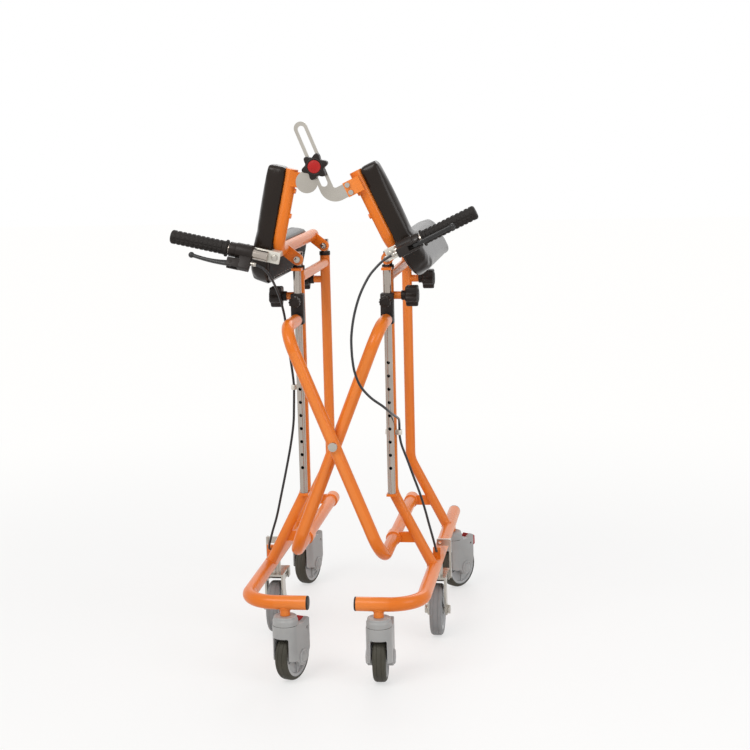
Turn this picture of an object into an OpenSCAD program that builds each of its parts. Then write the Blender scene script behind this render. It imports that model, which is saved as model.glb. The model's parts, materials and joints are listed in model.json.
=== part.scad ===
// Folding forearm walker, shown half folded.
// Two tubular side frames on swivel casters are joined by a scissor brace.
// Padded forearm rests hinge on height posts and meet over a slotted link plate.
// X runs across the walker, Y from the front casters to the user, Z up.

/* [Casters] */
// Diameter of the four caster wheels
caster_wheel_d = 100; // [80:1:120]
// Width of the four caster wheels
caster_wheel_w = 27; // [24:1:34]
// Height of a caster above its wheel
caster_crown = 37; // [32:1:50]
// Distance of the wheel behind the swivel axis
caster_trail = 22; // [18:1:28]
// Width of the caster housing
caster_body_w = 52; // [48:1:60]
// Diameter of the collar under the frame
caster_collar_d = 50; // [40:1:52]
// Diameter of the caster axle
caster_axle_d = 12; // [8:1:14]
// Diameter of the swivel pin
swivel_pin_d = 11; // [8:1:13]
// Rest angle of the front left caster
front_left_swivel = 19; // [-15:1:25]
// Rest angle of the front right caster
front_right_swivel = -3; // [-15:1:15]
// Rest angle of the rear left caster
rear_left_swivel = 16; // [0:1:30]
// Rest angle of the rear right caster
rear_right_swivel = 34; // [0:1:45]

/* [Side frames] */
// Diameter of the base tube
base_tube_d = 28; // [25:1:32]
// Wall of the base tube
base_wall = 2; // [1.5:0.1:3]
// Height of the stem between a caster and the base tube
stem_gap = 12; // [8:1:20]
// Rear end of the base tube, measured from the front casters
base_length = 720; // [660:1:800]
// Bend radius of the base tube
base_bend_r = 65; // [50:1:90]
// Reach of the base tube's front end, inward from its side run
base_inward = 126; // [115:1:135]
// Distance of the front caster inward from the side run
front_stem_inward = 82.5; // [75:0.5:95]
// Distance of the rear caster from the base tube's rear end
rear_stem_back = 80; // [70:1:120]
// Half the distance between the two upright planes at rest
pivot_x = 92; // [85:1:105]
// How far the legs spread out below the uprights
leg_spread = 83; // [70:1:95]
// Diameter of the uprights
upright_d = 22; // [21:0.5:25]
// Place of the front upright
front_upright_y = 255; // [240:1:270]
// Distance from the front upright to the rear one
upright_pitch = 315; // [290:1:340]
// Height at which the uprights bend outward
leg_bend_z = 325; // [312:1:340]
// Bend radius of the legs
leg_bend_r = 60; // [40:1:90]
// Rise of the uprights' top above the upper pivots of the brace
upright_rise = 106.2387; // [90:0.0001:130]
// Diameter of the rail between the two uprights
top_rail_d = 20; // [16:1:21]
// Drop of that rail below the top of the uprights
top_rail_drop = 25; // [18:1:34]

/* [Scissor brace] */
// Diameter of the brace tubes
brace_d = 25; // [22:1:28]
// Wall of the brace tubes
brace_wall = 2; // [1.5:0.1:3]
// Length of a brace from its lower pivot to its upper one
brace_length = 498; // [480:1:510]
// Bend radius of the brace ends
brace_bend_r = 50; // [40:1:60]
// Place of the front brace
brace_y = 82; // [70:1:90]
// Washer between the two braces
brace_washer = 3; // [2:0.5:6]
// Height of the lower brace pivots
brace_pivot_z = 228; // [222:1:240]
// Diameter of the centre bolt
centre_bolt_d = 10; // [8:1:12]
// Wall of the pivot eyes
eye_wall = 3; // [2.5:0.5:5]
// Length of the pivot eyes
eye_length = 30; // [20:1:40]

/* [Slide rails] */
// Diameter of the slide rail
rail_d = 16; // [14:1:18]
// Wall of the slide rail
rail_wall = 1.5; // [1:0.1:2.5]
// Space between the rail and the upright
rail_gap = 2; // [1.5:0.5:4]
// Drop of the slide rail's upper end below the top of the uprights
rail_drop = 8; // [6:1:20]
// Diameter of the index holes
index_hole_d = 7; // [6.5:0.5:8]
// Distance between index holes
index_pitch = 27.5; // [20:0.5:40]
// Number of index holes for the width settings
index_count = 9; // [5:1:9]
// Width of the slider block
slider_w = 26; // [24:1:32]

/* [Height posts] */
// Diameter of the height posts
post_d = 18; // [16:0.5:18.5]
// Length of a height post
post_length = 285; // [260:1:320]
// Rise of the armrest pivots above the uprights
arm_pivot_rise = 14; // [13:1:30]
// Diameter of the armrest pivot bolts
arm_bolt_d = 8; // [6:1:9]
// Drop of the clamp knobs below the top of the uprights
clamp_drop = 62; // [60:1:90]
// Diameter of the clamp knobs
clamp_knob_d = 46; // [36:1:47]
// Thickness of the clamp knobs
clamp_knob_t = 25; // [18:1:28]
// Diameter of the clamp screws
clamp_screw_d = 8; // [6:1:10]

/* [Armrests] */
// Diameter of the armrest tube
arm_tube_d = 25; // [22:1:26]
// Wall of the armrest tube
arm_wall = 2; // [1.5:0.1:3]
// Armrest tube's offset inward from the pivot, when level
arm_in = 16; // [14:1:20]
// Armrest tube's offset above the pivot, when level
arm_up = 32; // [30:1:36]
// Place of the armrest's cross tube
arm_cross_y = 175; // [170:1:180]
// Bend radius of the armrest tube
arm_bend_r = 30; // [25:1:40]
// Inner end of the cross tube from the pivot
arm_reach = 183; // [178:1:195]
// Rear end of the armrest tube
arm_rear_y = 585; // [580:1:620]
// Rest angle of the left armrest
left_arm_angle = 77.5; // [74:0.5:80]
// Rest angle of the right armrest
right_arm_angle = 64.5; // [60:0.5:68]
// Thickness of the bracket plates
bracket_t = 4; // [3:0.5:5]
// Thickness of the pad
pad_t = 38; // [28:1:44]
// Inner end of the pad from the pivot
pad_inner = 186; // [170:1:190]
// Outer end of the pad from the pivot
pad_outer = 60; // [50:1:61]
// Depth of the pad's cross part
pad_cross = 50; // [46:1:60]
// Width of the pad's side part
pad_side = 92; // [80:1:104]
// Length of the pad's side part
pad_long = 425; // [320:1:430]
// Corner radius of the pad
pad_corner_r = 12; // [8:1:18]
// Radius of the pad's outer front corner
pad_front_r = 70; // [40:1:74]
// Radius of the pad's inner rear corner
pad_rear_r = 58; // [30:1:66]

/* [Handles] */
// Diameter of the handle bar
bar_d = 20; // [18:0.5:22]
// Handle bar's offset inward from the armrest pivot
bar_in = 8; // [4:1:12]
// Place of the handle bar
bar_y = 130; // [126:1:132]
// Diameter of the grip
grip_d = 28; // [26:1:32]
// Length of the grip
grip_length = 116; // [100:1:125]
// Height of the right brake clamp on its bar
right_clamp_up = 46; // [44:1:60]
// Height of the left brake clamp on its bar
left_clamp_up = 70; // [46:1:80]
// Turn of the right brake lever round its bar
right_lever_turn = 8; // [0:1:20]
// Turn of the left brake lever round its bar
left_lever_turn = 58; // [40:1:65]
// Length of the brake lever
lever_length = 80; // [70:1:90]

/* [Link] */
// Distance of the link pin from the left armrest's pivot
pin_reach = 200; // [196:0.5:203]
// Angle of the link pin below the left armrest
pin_angle = 5; // [4:0.1:6]
// Diameter of the link pin
pin_d = 8; // [6:0.5:8]
// Width of the slot
slot_w = 14; // [13:0.5:15]
// Slope of the slot on the right armrest
slot_slope = 3.4; // [2:0.1:6]
// Shift of the slot's line from the pin's rest place
slot_shift = 1.2; // [-1:0.1:2]
// Length of the slot in front of the pin
slot_ahead = 77; // [70:1:100]
// Length of the slot behind the pin
slot_behind = 36; // [20:1:40]
// Width of the slotted plate
link_w = 27; // [24:1:32]
// Thickness of the link plates
link_t = 4; // [3:0.5:4]
// Diameter of the star knob
star_d = 53; // [46:1:56]
// Thickness of the star knob
star_t = 19; // [14:1:22]

/* [Centre wheels] */
// Diameter of the braked centre wheels
centre_wheel_d = 110; // [100:1:112]
// Width of the braked centre wheels
centre_wheel_w = 26; // [20:1:28]
// Place of the centre wheels
centre_wheel_y = 310; // [300:1:340]
// Thickness of the fork plates
fork_t = 4; // [3:0.5:5]
// Diameter of the centre axle
centre_axle_d = 10; // [8:1:12]
// Diameter of the brake cable
cable_d = 5; // [4:0.5:6]

/* [Hidden] */
$fn = 64;

// Colours
orange = [0.93, 0.42, 0.10];
black = [0.09, 0.09, 0.10];
silver = [0.78, 0.78, 0.76];
grey = [0.62, 0.63, 0.64];
red = [0.80, 0.10, 0.12];

// Clearances
run = 0.05;      // radial running fit of pins, posts and axles
free = 0.4;      // gap between faces that pass each other
over = 1;        // how far a cut runs past a face
cap_steps = 20;  // straight pieces in the round end of a flat bar

// Casters and base
caster_height = caster_wheel_d + caster_crown;
axle_z = caster_wheel_d / 2;
caster_front = caster_body_w / 2;
caster_rear = caster_trail + 28;
crown_top = caster_height - 19;
collar_t = 12;
wheel_slot_r = caster_wheel_d / 2 + 4;
wheel_slot_w = caster_wheel_w + 5;
wheel_slot_up = 44;
wheel_slot_top = axle_z + wheel_slot_up;
tyre_r = 8;
pin_up = 20;
pedal_w = 30;
pedal_y = caster_rear - 10;
pedal_z = crown_top - 14;
pedal_pin_d = 5;
pedal_notch_l = 30;
pedal_notch_h = 40;
stem_d = 20;
base_z = caster_height + stem_gap + base_tube_d / 2;
base_x = pivot_x + leg_spread;
base_front_x = base_x - base_inward;
rear_stem_y = base_length - rear_stem_back;
front_stem_x = base_x - front_stem_inward;
cap_t = 4;
cap_plug = 12;

// Brace: the half angle follows from the width at rest, and grows as the walker opens
brace_angle = asin(2 * pivot_x / brace_length);
fold_open = 55;
brace_rise = brace_length * cos(brace_angle);
upper_pivot_z = brace_pivot_z + brace_rise;
brace_mid_z = brace_pivot_z + brace_rise / 2;

// Side frames
upright_top = upper_pivot_z + upright_rise;
rear_upright_y = front_upright_y + upright_pitch;
leg_angle = atan(leg_spread / (leg_bend_z - base_z));
leg_length = (leg_bend_z - base_z) / cos(leg_angle);
leg_tangent = leg_bend_r * tan(leg_angle / 2);
leg_lap = 2;     // how far the leg runs into its bend
leg_step = 0.1;  // how far the leg's surface stays inside the bend's
upright_bore_d = post_d + 2 * run;
eye_d = brace_d + 2 * eye_wall;
eye_bore_d = brace_d + 2 * run;
eye_plate_t = 6;
eye_plate_h = 22;
eye_plate_x = (leg_bend_z - brace_pivot_z) * tan(leg_angle);
arm_pivot_z = upright_top + arm_pivot_rise;
clamp_z = upright_top - clamp_drop;
top_rail_z = upright_top - top_rail_drop;
rail_top = upright_top - rail_drop;
rail_bottom = leg_bend_z + 1;
rail_y = front_upright_y - upright_d / 2 - rail_gap - rail_d / 2;
tab_t = 5;
tab_w = 20;
boss_d = 16;
boss_len = 15;
top_rail_wall = 1.5;

// Brace tubes
brace_back_y = brace_y + brace_d + brace_washer;
stub_end_y = rail_y - slider_w / 2 - 16;
pivot_end_y = rear_upright_y + eye_length / 2 + 5;
shoulder_d = 10;

// Sliders
slider_front_y = stub_end_y + free;
slider_back_y = front_upright_y - upright_d / 2 - 1;
slider_low = 11;
slider_high = 52;
plunger_up = 38;
plunger_pin_d = 6;
plunger_knob_d = 24;
plunger_z = upper_pivot_z + plunger_up;
index_first = brace_pivot_z + brace_length * cos(brace_angle + fold_open) + plunger_up;

// Armrests
post_top = 14;
bracket_r = 12;
bracket_gap = 0.6;
bolt_head_d = 13;
bolt_head_t = 5;
pad_sink = 3;
pad_z = arm_up + arm_tube_d / 2 - pad_sink;
tab_y = arm_cross_y - arm_tube_d / 2;
link_y = tab_y - 2 * link_t - free;
link_tab_t = 4;
link_tab_w = 30;
link_tab_drop = 30;
link_bridge_h = 11;
link_bolt_d = 6;
link_bolt_head = 4;
link_bolt_v = arm_up - 22;
half_moon_r = 22;
pad_gap = 1;
pad_y = link_y + link_t + pad_gap;
clamp_d = 32;
lever_out = 30;
lever_w = 8;
lever_pivot_up = 38;
lever_pin_d = 6;
ferrule_out = 22;
ferrule_len = 12;
ferrule_d = 9;
grip_gap = 52;
clamp_len = grip_gap - 4;
ball_d = 12;
rib_pitch = 12;
rib_cut = 1.2;

// The link pin's rest place, seen from the right armrest
pin_dx = pin_reach * cos(left_arm_angle - pin_angle) - 2 * pivot_x;
pin_dz = pin_reach * sin(left_arm_angle - pin_angle);
pin_u = pin_dz * sin(right_arm_angle) - pin_dx * cos(right_arm_angle);
pin_v = pin_dz * cos(right_arm_angle) + pin_dx * sin(right_arm_angle);

// Slotted plate on the right armrest: its slot, its elbow and its bolts
slot_way = [cos(slot_slope), sin(slot_slope)];
slot_up = [-sin(slot_slope), cos(slot_slope)];
slot_mid = [pin_u, pin_v] + slot_shift * slot_up;
slot_far = slot_mid + slot_ahead * slot_way;
slot_near = slot_mid - slot_behind * slot_way;
slot_neck = slot_near - 12 * slot_way;
elbow_r = 19;
elbow = slot_neck + elbow_r * slot_up;
link_leg = elbow_r - elbow[0];
link_bolts = [link_leg - 8, link_leg + 8];
left_tab_u = arm_reach - 18;

// Centre wheels
fork_in = centre_wheel_w / 2 + 3;
fork_out = fork_in + fork_t;
fork_top = centre_wheel_d + 16;
fork_neck_d = 24;
ear_y = 44;
ear_t = 3;
ear_in = fork_out - 1;
brake_z = fork_top - 8;
brake_shaft_d = 8;
crank_t = 4;
crank_x = ear_in + ear_t + free;
wire_x = 3;
wire_z = base_z + base_tube_d / 2 + 13;
wire_d = 2;
lug_y = 283;
lug_t = 5;

// The origin lies under the middle of the walker's box at rest
left_tip_v = left_clamp_up + grip_gap + grip_length;
right_tip_v = right_clamp_up + grip_gap + grip_length;
left_x = -pivot_x + (bar_in - grip_d / 2) * cos(left_arm_angle) - left_tip_v * sin(left_arm_angle);
right_x = pivot_x + (grip_d / 2 - bar_in) * cos(right_arm_angle) + right_tip_v * sin(right_arm_angle);
lean = max(abs(front_left_swivel), abs(front_right_swivel));
wheel_front = (caster_wheel_d / 2 - tyre_r - caster_trail) * cos(lean)
            + (caster_wheel_w / 2 - tyre_r) * sin(lean) + tyre_r;
front_y = -max(caster_front, wheel_front);
mid_x = (left_x + right_x) / 2;
mid_y = (front_y + base_length + cap_t) / 2;

// Brake cable routes at rest, from the brake clamp to the clip and on to the centre wheel
right_upper_route = [
  [119, 108, 829.5], [104, 105, 821], [88, 100, 806], [74, 95, 788], [58, 87, 755],
  [47, 79, 716], [42, 71, 676], [43, 66, 640], [47, 66, 610], [57, 72, 580], [76, 77, 556],
  [98, 84, 538], [109, 112, 520], [113, 160, 503], [113, 208, 488], [110, 240, 474], [109, 249, 459.5]];
right_lower_route = [
  [109, 249, 458], [109, 249, 446], [113, 248, 425], [124, 247, 395], [136, 247, 360], [148, 249, 325],
  [158, 251, 290], [166, 254, 256], [173, 258, 226], [177, 264, 205], [178, 272, 194], [178, 283, 190]];
left_upper_route = [
  [-151, 118, 813], [-138, 121, 806], [-128, 134, 790], [-121, 160, 762], [-117, 186, 731],
  [-114, 203, 696], [-112, 214, 650], [-110, 226, 610], [-109, 240, 575], [-109, 249, 553.5]];
left_lower_route = [
  [-109, 249, 552], [-109, 249, 540], [-110, 247, 505], [-112, 246, 470], [-119, 245, 425], [-131, 247, 370],
  [-144, 249, 315], [-155, 251, 270], [-166, 254, 236], [-174, 260, 210], [-178, 270, 195], [-178, 283, 190]];
cable_sides = 10;
cable_steps = 2;
clip_h = 10;
clip_wall = 2;
clip_drop = 6;

// Helpers

// Moves the walker so that its origin is under its middle
module placed() {
  translate([-mid_x, -mid_y, 0]) children();
}

// Draws the right-hand children on the right (s = 1) or mirrored on the left (s = -1)
module on_side(s) {
  placed() mirror([s < 0 ? 1 : 0, 0, 0]) children();
}

module along_x(x0, x1, d) {
  translate([x0, 0, 0]) rotate([0, 90, 0]) cylinder(d = d, h = x1 - x0);
}

module along_y(y0, y1, d) {
  translate([0, y0, 0]) rotate([-90, 0, 0]) cylinder(d = d, h = y1 - y0);
}

// Plate across X, from an outline of [y, z] points
module plate_x(x0, t, points) {
  translate([x0, 0, 0]) rotate([90, 0, 90]) linear_extrude(t) polygon(points);
}

// Plate across Y, from a flat child drawn in X and Z
module plate_y(y0, t) {
  translate([0, y0 + t, 0]) rotate([90, 0, 0]) linear_extrude(t) children();
}

// Quarter bend in the XY plane, from the run along X to the run along Y
module quarter_bend(r, d) {
  translate([-r, r, 0]) rotate([0, 0, -90]) rotate_extrude(angle = 90) translate([r, 0]) circle(d = d);
}

// Flat bar with round ends between two points
module capsule(a, b, w) {
  turn = atan2(b[1] - a[1], b[0] - a[0]);
  half_turn = 180 / cap_steps;
  polygon([
    for (i = [0 : cap_steps]) b + w / 2 * [cos(turn - 90 + i * half_turn), sin(turn - 90 + i * half_turn)],
    for (i = [0 : cap_steps]) a + w / 2 * [cos(turn + 90 + i * half_turn), sin(turn + 90 + i * half_turn)]]);
}

// Disc with round lobes, drawn along +Z
module lobed_knob(d, t, count) {
  lobe = d / 4;
  cylinder(d = d - lobe * 0.9, h = t);
  for (i = [0 : count - 1])
    rotate(i * 360 / count) translate([d / 2 - lobe / 2, 0, 0]) cylinder(d = lobe, h = t);
}

// Points of a smooth curve through a route
function smooth_at(p, i, f) =
  let (a = p[max(i - 1, 0)], b = p[i], c = p[i + 1], d = p[min(i + 2, len(p) - 1)])
  0.5 * (2 * b + (c - a) * f + (2 * a - 5 * b + 4 * c - d) * f * f + (3 * b - a - 3 * c + d) * f * f * f);
function smooth_route(p, steps) = [
  for (i = [0 : len(p) - 2], k = [0 : steps - 1]) smooth_at(p, i, k / steps),
  p[len(p) - 1]];
function unit(v) = v / norm(v);
function heading(q, i) = unit(q[min(i + 1, len(q) - 1)] - q[max(i - 1, 0)]);

// Round cord along a route; lean is a direction that the route never takes
module cord(route, d, sides, steps, lean) {
  q = smooth_route(route, steps);
  n = len(q);
  rings = [for (i = [0 : n - 1])
    let (t = heading(q, i), a = unit(cross(lean, t)), b = cross(t, a))
    for (k = [0 : sides - 1]) q[i] + d / 2 * (cos(k * 360 / sides) * a + sin(k * 360 / sides) * b)];
  walls = [for (i = [0 : n - 2], k = [0 : sides - 1])
    let (a = i * sides + k, b = i * sides + (k + 1) % sides)
    each [[a, b + sides, b], [a, a + sides, b + sides]]];
  ends = [[for (k = [0 : sides - 1]) k], [for (k = [sides - 1 : -1 : 0]) (n - 1) * sides + k]];
  polyhedron(points = rings, faces = concat(walls, ends));
}

// Side frame pieces, drawn for the right side

module base_path(d, past) {
  translate([0, 0, base_z]) {
    along_x(base_front_x - past, base_x - base_bend_r, d);
    translate([base_x, 0, 0]) quarter_bend(base_bend_r, d);
    translate([base_x, 0, 0]) along_y(base_bend_r, base_length + past, d);
  }
}

module stem(x, y, d, z0, z1) {
  translate([x, y, z0]) cylinder(d = d, h = z1 - z0);
}

module base_tube() {
  bore = swivel_pin_d + 2 * run;
  difference() {
    union() {
      base_path(base_tube_d, 0);
      stem(front_stem_x, 0, stem_d, caster_height + free, base_z);
      stem(base_x, rear_stem_y, stem_d, caster_height + free, base_z);
      translate([base_x - 5, lug_y, base_z]) cube([16, lug_t, wire_z - base_z + 8]);
    }
    base_path(base_tube_d - 2 * base_wall, over);
    stem(front_stem_x, 0, bore, caster_height, base_z);
    stem(base_x, rear_stem_y, bore, caster_height, base_z);
    translate([base_x + wire_x, 0, wire_z]) along_y(lug_y - over, lug_y + lug_t + over, wire_d + 2);
  }
}

module upright_path(y, d, past) {
  translate([pivot_x, y, 0]) {
    translate([0, 0, leg_bend_z + leg_tangent]) cylinder(d = d, h = upright_top - leg_bend_z - leg_tangent + past);
    translate([leg_bend_r, 0, leg_bend_z + leg_tangent]) rotate([90, 0, 0]) rotate([0, 0, 180])
      rotate_extrude(angle = leg_angle) translate([leg_bend_r, 0]) circle(d = d);
    translate([0, 0, leg_bend_z]) rotate([0, 180 - leg_angle, 0]) translate([0, 0, leg_tangent - leg_lap])
      cylinder(d = d - 2 * leg_step, h = leg_length - leg_tangent + leg_lap);
  }
}

// Upright with its leg, pivot eye and clamp boss
module upright(y) {
  difference() {
    union() {
      upright_path(y, upright_d, 0);
      translate([pivot_x, y, clamp_z]) along_x(0, upright_d / 2 + boss_len, boss_d);
      translate([pivot_x, y, brace_pivot_z]) along_y(-eye_length / 2, eye_length / 2, eye_d);
      translate([pivot_x, y - eye_plate_t / 2, brace_pivot_z - eye_plate_h / 2])
        cube([eye_plate_x, eye_plate_t, eye_plate_h]);
      children();
    }
    upright_path(y, upright_bore_d, over);
    translate([pivot_x, y, clamp_z]) along_x(0, upright_d / 2 + boss_len + over, clamp_screw_d + 2 * run);
    translate([pivot_x, y, brace_pivot_z])
      along_y(-eye_length / 2 - over, eye_length / 2 + over, eye_bore_d);
    base_path(base_tube_d, over);
  }
}

// Tab that holds one end of the slide rail
module rail_tab(z) {
  translate([pivot_x - tab_w / 2, rail_y - rail_d / 2 - 1, z])
    cube([tab_w, front_upright_y - rail_y + rail_d / 2 + 1, tab_t]);
}

module front_upright() {
  upright(front_upright_y) {
    rail_tab(rail_top);
    rail_tab(rail_bottom - tab_t);
  }
}

module rear_upright() {
  upright(rear_upright_y);
}

module top_rail() {
  difference() {
    translate([pivot_x, 0, top_rail_z]) along_y(front_upright_y, rear_upright_y, top_rail_d);
    translate([pivot_x, 0, top_rail_z])
      along_y(front_upright_y, rear_upright_y, top_rail_d - 2 * top_rail_wall);
    upright_path(front_upright_y, upright_d, over);
    upright_path(rear_upright_y, upright_d, over);
  }
}

module slide_rail() {
  translate([pivot_x, rail_y, 0]) difference() {
    translate([0, 0, rail_bottom]) cylinder(d = rail_d, h = rail_top - rail_bottom);
    translate([0, 0, rail_bottom - over])
      cylinder(d = rail_d - 2 * rail_wall, h = rail_top - rail_bottom + 2 * over);
    for (i = [0 : index_count - 1])
      translate([0, 0, index_first + i * index_pitch]) along_y(-rail_d, 0, index_hole_d);
    translate([0, 0, plunger_z]) along_y(-rail_d, 0, index_hole_d);
  }
}

// End caps of the base tube and the clip that holds the brake cable
module trim(lower_route) {
  bore = base_tube_d - 2 * base_wall;
  start = lower_route[0];
  eye = [abs(start[0]), start[1]];
  post = [pivot_x, front_upright_y];
  front = front_upright_y - upright_d / 2 + clip_wall;
  translate([0, 0, base_z]) {
    along_x(base_front_x - cap_t, base_front_x, base_tube_d);
    along_x(base_front_x, base_front_x + cap_plug, bore);
    translate([base_x, 0, 0]) {
      along_y(base_length, base_length + cap_t, base_tube_d);
      along_y(base_length - cap_plug, base_length, bore);
    }
  }
  translate([0, 0, start[2] - clip_drop - clip_h / 2]) linear_extrude(clip_h) difference() {
    union() {
      translate(post) circle(d = upright_d + 2 * clip_wall);
      capsule(post, eye, cable_d + 2 * clip_wall + 2);
    }
    translate(post) circle(d = upright_d);
    translate(eye) circle(d = cable_d + 2);
    translate([pivot_x - upright_d, front - upright_d]) square([upright_d + slider_w / 2, upright_d]);
  }
}

// Clamp knob with its screw, which presses on a height post
module clamp_knob(y) {
  hub = upright_d / 2 + boss_len + free;
  translate([pivot_x, y, clamp_z]) {
    along_x(post_d / 2 + free, hub, clamp_screw_d);
    along_x(hub, hub + 9, boss_d + 4);
    translate([hub + 9, 0, 0]) rotate([0, 90, 0]) lobed_knob(clamp_knob_d, clamp_knob_t, 5);
  }
}

// Wheel along X, centred on its axle, with sunk faces
module wheel(d, w, bore) {
  sink = 4;
  rotate([0, 90, 0]) difference() {
    rotate_extrude() {
      translate([bore / 2 + run, -w / 2]) square([d / 2 - tyre_r - bore / 2 - run, w]);
      translate([d / 2 - tyre_r, -w / 2 + tyre_r]) square([tyre_r, w - 2 * tyre_r]);
      for (side = [-1, 1]) translate([d / 2 - tyre_r, side * (w / 2 - tyre_r)]) circle(r = tyre_r);
    }
    for (side = [-1, 1]) translate([0, 0, side * w / 2]) difference() {
      cylinder(r = d / 2 - 15, h = 2 * sink, center = true);
      cylinder(r = bore / 2 + 7, h = 2 * sink + over, center = true);
    }
  }
}

// Braked centre wheel, its fork and its brake

module centre_place() {
  translate([base_x, centre_wheel_y, 0]) children();
}

module wheel_fork() {
  z = centre_wheel_d / 2;
  difference() {
    centre_place() {
      translate([-fork_out, -19, fork_top]) cube([2 * fork_out, ear_y + 29, fork_t]);
      stem(0, 0, fork_neck_d, fork_top + fork_t, base_z);
      for (x = [-fork_out, fork_in]) {
        plate_x(x, fork_t, [[-19, fork_top], [7, fork_top], [7, fork_top - 14], [13, z], [-13, z], [-19, z + 30]]);
        translate([0, 0, z]) along_x(x, x + fork_t, 26);
      }
      for (x = [-ear_in - ear_t, ear_in])
        translate([x, ear_y - 9, brake_z - 9]) cube([ear_t, 18, fork_top - brake_z + 9 + fork_t]);
      translate([0, 0, z]) {
        along_x(-fork_out, fork_out, centre_axle_d);
        for (x = [-fork_out - 6, fork_out]) along_x(x, x + 6, 17);
      }
    }
    centre_place() translate([0, ear_y, brake_z]) along_x(-crank_x - over, crank_x + over, brake_shaft_d + 2 * run);
    base_path(base_tube_d, over);
  }
}

module centre_wheel() {
  centre_place() translate([0, 0, centre_wheel_d / 2]) wheel(centre_wheel_d, centre_wheel_w, centre_axle_d);
}

// Brake crank: a shaft in the fork's ears, a shoe over the wheel and a crank up to the cable
module brake_arm() {
  cheek = ear_in - free;
  cheek_t = 3;
  shoe_y = 16;
  shoe_z = brake_z - 2.4;
  crank_top = wire_z + 7;
  centre_place() difference() {
    union() {
      translate([0, ear_y, brake_z]) along_x(-crank_x, crank_x + crank_t, brake_shaft_d);
      for (x = [-cheek, cheek - cheek_t])
        translate([x, 0, 0]) rotate([90, 0, 90]) linear_extrude(cheek_t)
          capsule([ear_y, brake_z], [shoe_y, shoe_z], 10);
      translate([0, shoe_y, shoe_z]) along_x(-cheek, cheek, 8);
      translate([crank_x, ear_y - 6, brake_z - 6]) cube([crank_t, 12, crank_top - brake_z + 6]);
      translate([wire_x - 7, ear_y - 3, crank_top - 14]) cube([crank_x - wire_x + 7, 6, 14]);
    }
    translate([wire_x, 0, wire_z]) along_y(ear_y - 3 - over, ear_y + 3 + over, wire_d + 4);
  }
}

// Height posts with the bolts that the armrest turns on
module posts() {
  for (y = [front_upright_y, rear_upright_y]) {
    translate([pivot_x, y, arm_pivot_z + post_top - post_length]) cylinder(d = post_d, h = post_length);
    translate([pivot_x, y, arm_pivot_z]) {
      along_y(-post_d / 2 - 2 * bracket_gap - bracket_t, 0, arm_bolt_d);
      along_y(-post_d / 2 - 2 * bracket_gap - bracket_t - bolt_head_t,
              -post_d / 2 - 2 * bracket_gap - bracket_t, bolt_head_d);
    }
  }
}

// Armrests, drawn level with the pivot at the origin and the inner end towards -X

module on_arm(s) {
  angle = s < 0 ? left_arm_angle : right_arm_angle;
  on_side(s) translate([pivot_x, 0, arm_pivot_z]) rotate([0, angle, 0]) children();
}

module arm_path(d, past) {
  translate([-arm_in, arm_cross_y, arm_up]) {
    along_x(arm_in - arm_reach - past, -arm_bend_r, d);
    quarter_bend(arm_bend_r, d);
    along_y(arm_bend_r, arm_rear_y - arm_cross_y + past, d);
  }
}

// Bracket plate from a pivot bolt to the armrest tube
module arm_bracket(y) {
  plate_y(y - post_d / 2 - bracket_gap - bracket_t, bracket_t)
    capsule([0, 0], [-arm_in, arm_up], 2 * bracket_r);
}

// Tab of the left armrest, behind its half-moon plate
module left_tab() {
  translate([-left_tab_u - link_tab_w / 2, tab_y, link_bolt_v])
    cube([link_tab_w, arm_tube_d / 2, arm_up - link_bolt_v]);
}

// Tab of the right armrest, in front of its slotted plate and bridged back to the tube above that plate
module right_tab() {
  y = link_y - free - link_tab_t;
  translate([link_leg - link_tab_w / 2, y, arm_up - link_tab_drop])
    cube([link_tab_w, link_tab_t, link_tab_drop + 4]);
  translate([link_leg - link_tab_w / 2, y, arm_up - link_bridge_h])
    cube([link_tab_w, arm_cross_y - y, link_bridge_h + 4]);
}

// Armrest tube with its brackets and the tab that carries a link plate
module armrest_tube(s) {
  difference() {
    union() {
      arm_path(arm_tube_d, 0);
      arm_bracket(front_upright_y);
      arm_bracket(rear_upright_y);
      if (s < 0) left_tab();
      else right_tab();
      for (u = [0.45, 0.75]) translate([-arm_in - (arm_reach - arm_in) * u, arm_cross_y, arm_up - arm_tube_d / 2 - 3])
        cylinder(d = 10, h = 5);
    }
    difference() {
      arm_path(arm_tube_d - 2 * arm_wall, 0);
      translate([-arm_reach - over, 0, 0]) cube([over + arm_wall, arm_rear_y, 2 * arm_up]);
      translate([-2 * arm_up, arm_rear_y - arm_wall, 0]) cube([2 * arm_up, over + arm_wall, 2 * arm_up]);
    }
    for (y = [front_upright_y, rear_upright_y])
      along_y(y - post_d, y, arm_bolt_d + 2 * run);
    if (s > 0) for (u = link_bolts)
      translate([u, 0, link_bolt_v]) along_y(link_y - 2 * link_tab_t, link_y, link_bolt_d + 2 * run);
  }
}

// Quarter of a disc, from the given angle on
module quarter_disc(r, angle) {
  rotate(angle) intersection() {
    circle(r = r);
    square(r + over);
  }
}

// Rectangle between two corners; r gives its radii, anticlockwise from the lower corner
module rounded_quad(low, high, r) {
  polygon([
    [low[0], low[1] + r[0]], [low[0] + r[0], low[1]], [high[0] - r[1], low[1]], [high[0], low[1] + r[1]],
    [high[0], high[1] - r[2]], [high[0] - r[2], high[1]], [low[0] + r[3], high[1]], [low[0], high[1] - r[3]]]);
  translate([low[0] + r[0], low[1] + r[0]]) quarter_disc(r[0], 180);
  translate([high[0] - r[1], low[1] + r[1]]) quarter_disc(r[1], 270);
  translate([high[0] - r[2], high[1] - r[2]]) quarter_disc(r[2], 0);
  translate([low[0] + r[3], high[1] - r[3]]) quarter_disc(r[3], 90);
}

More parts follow.
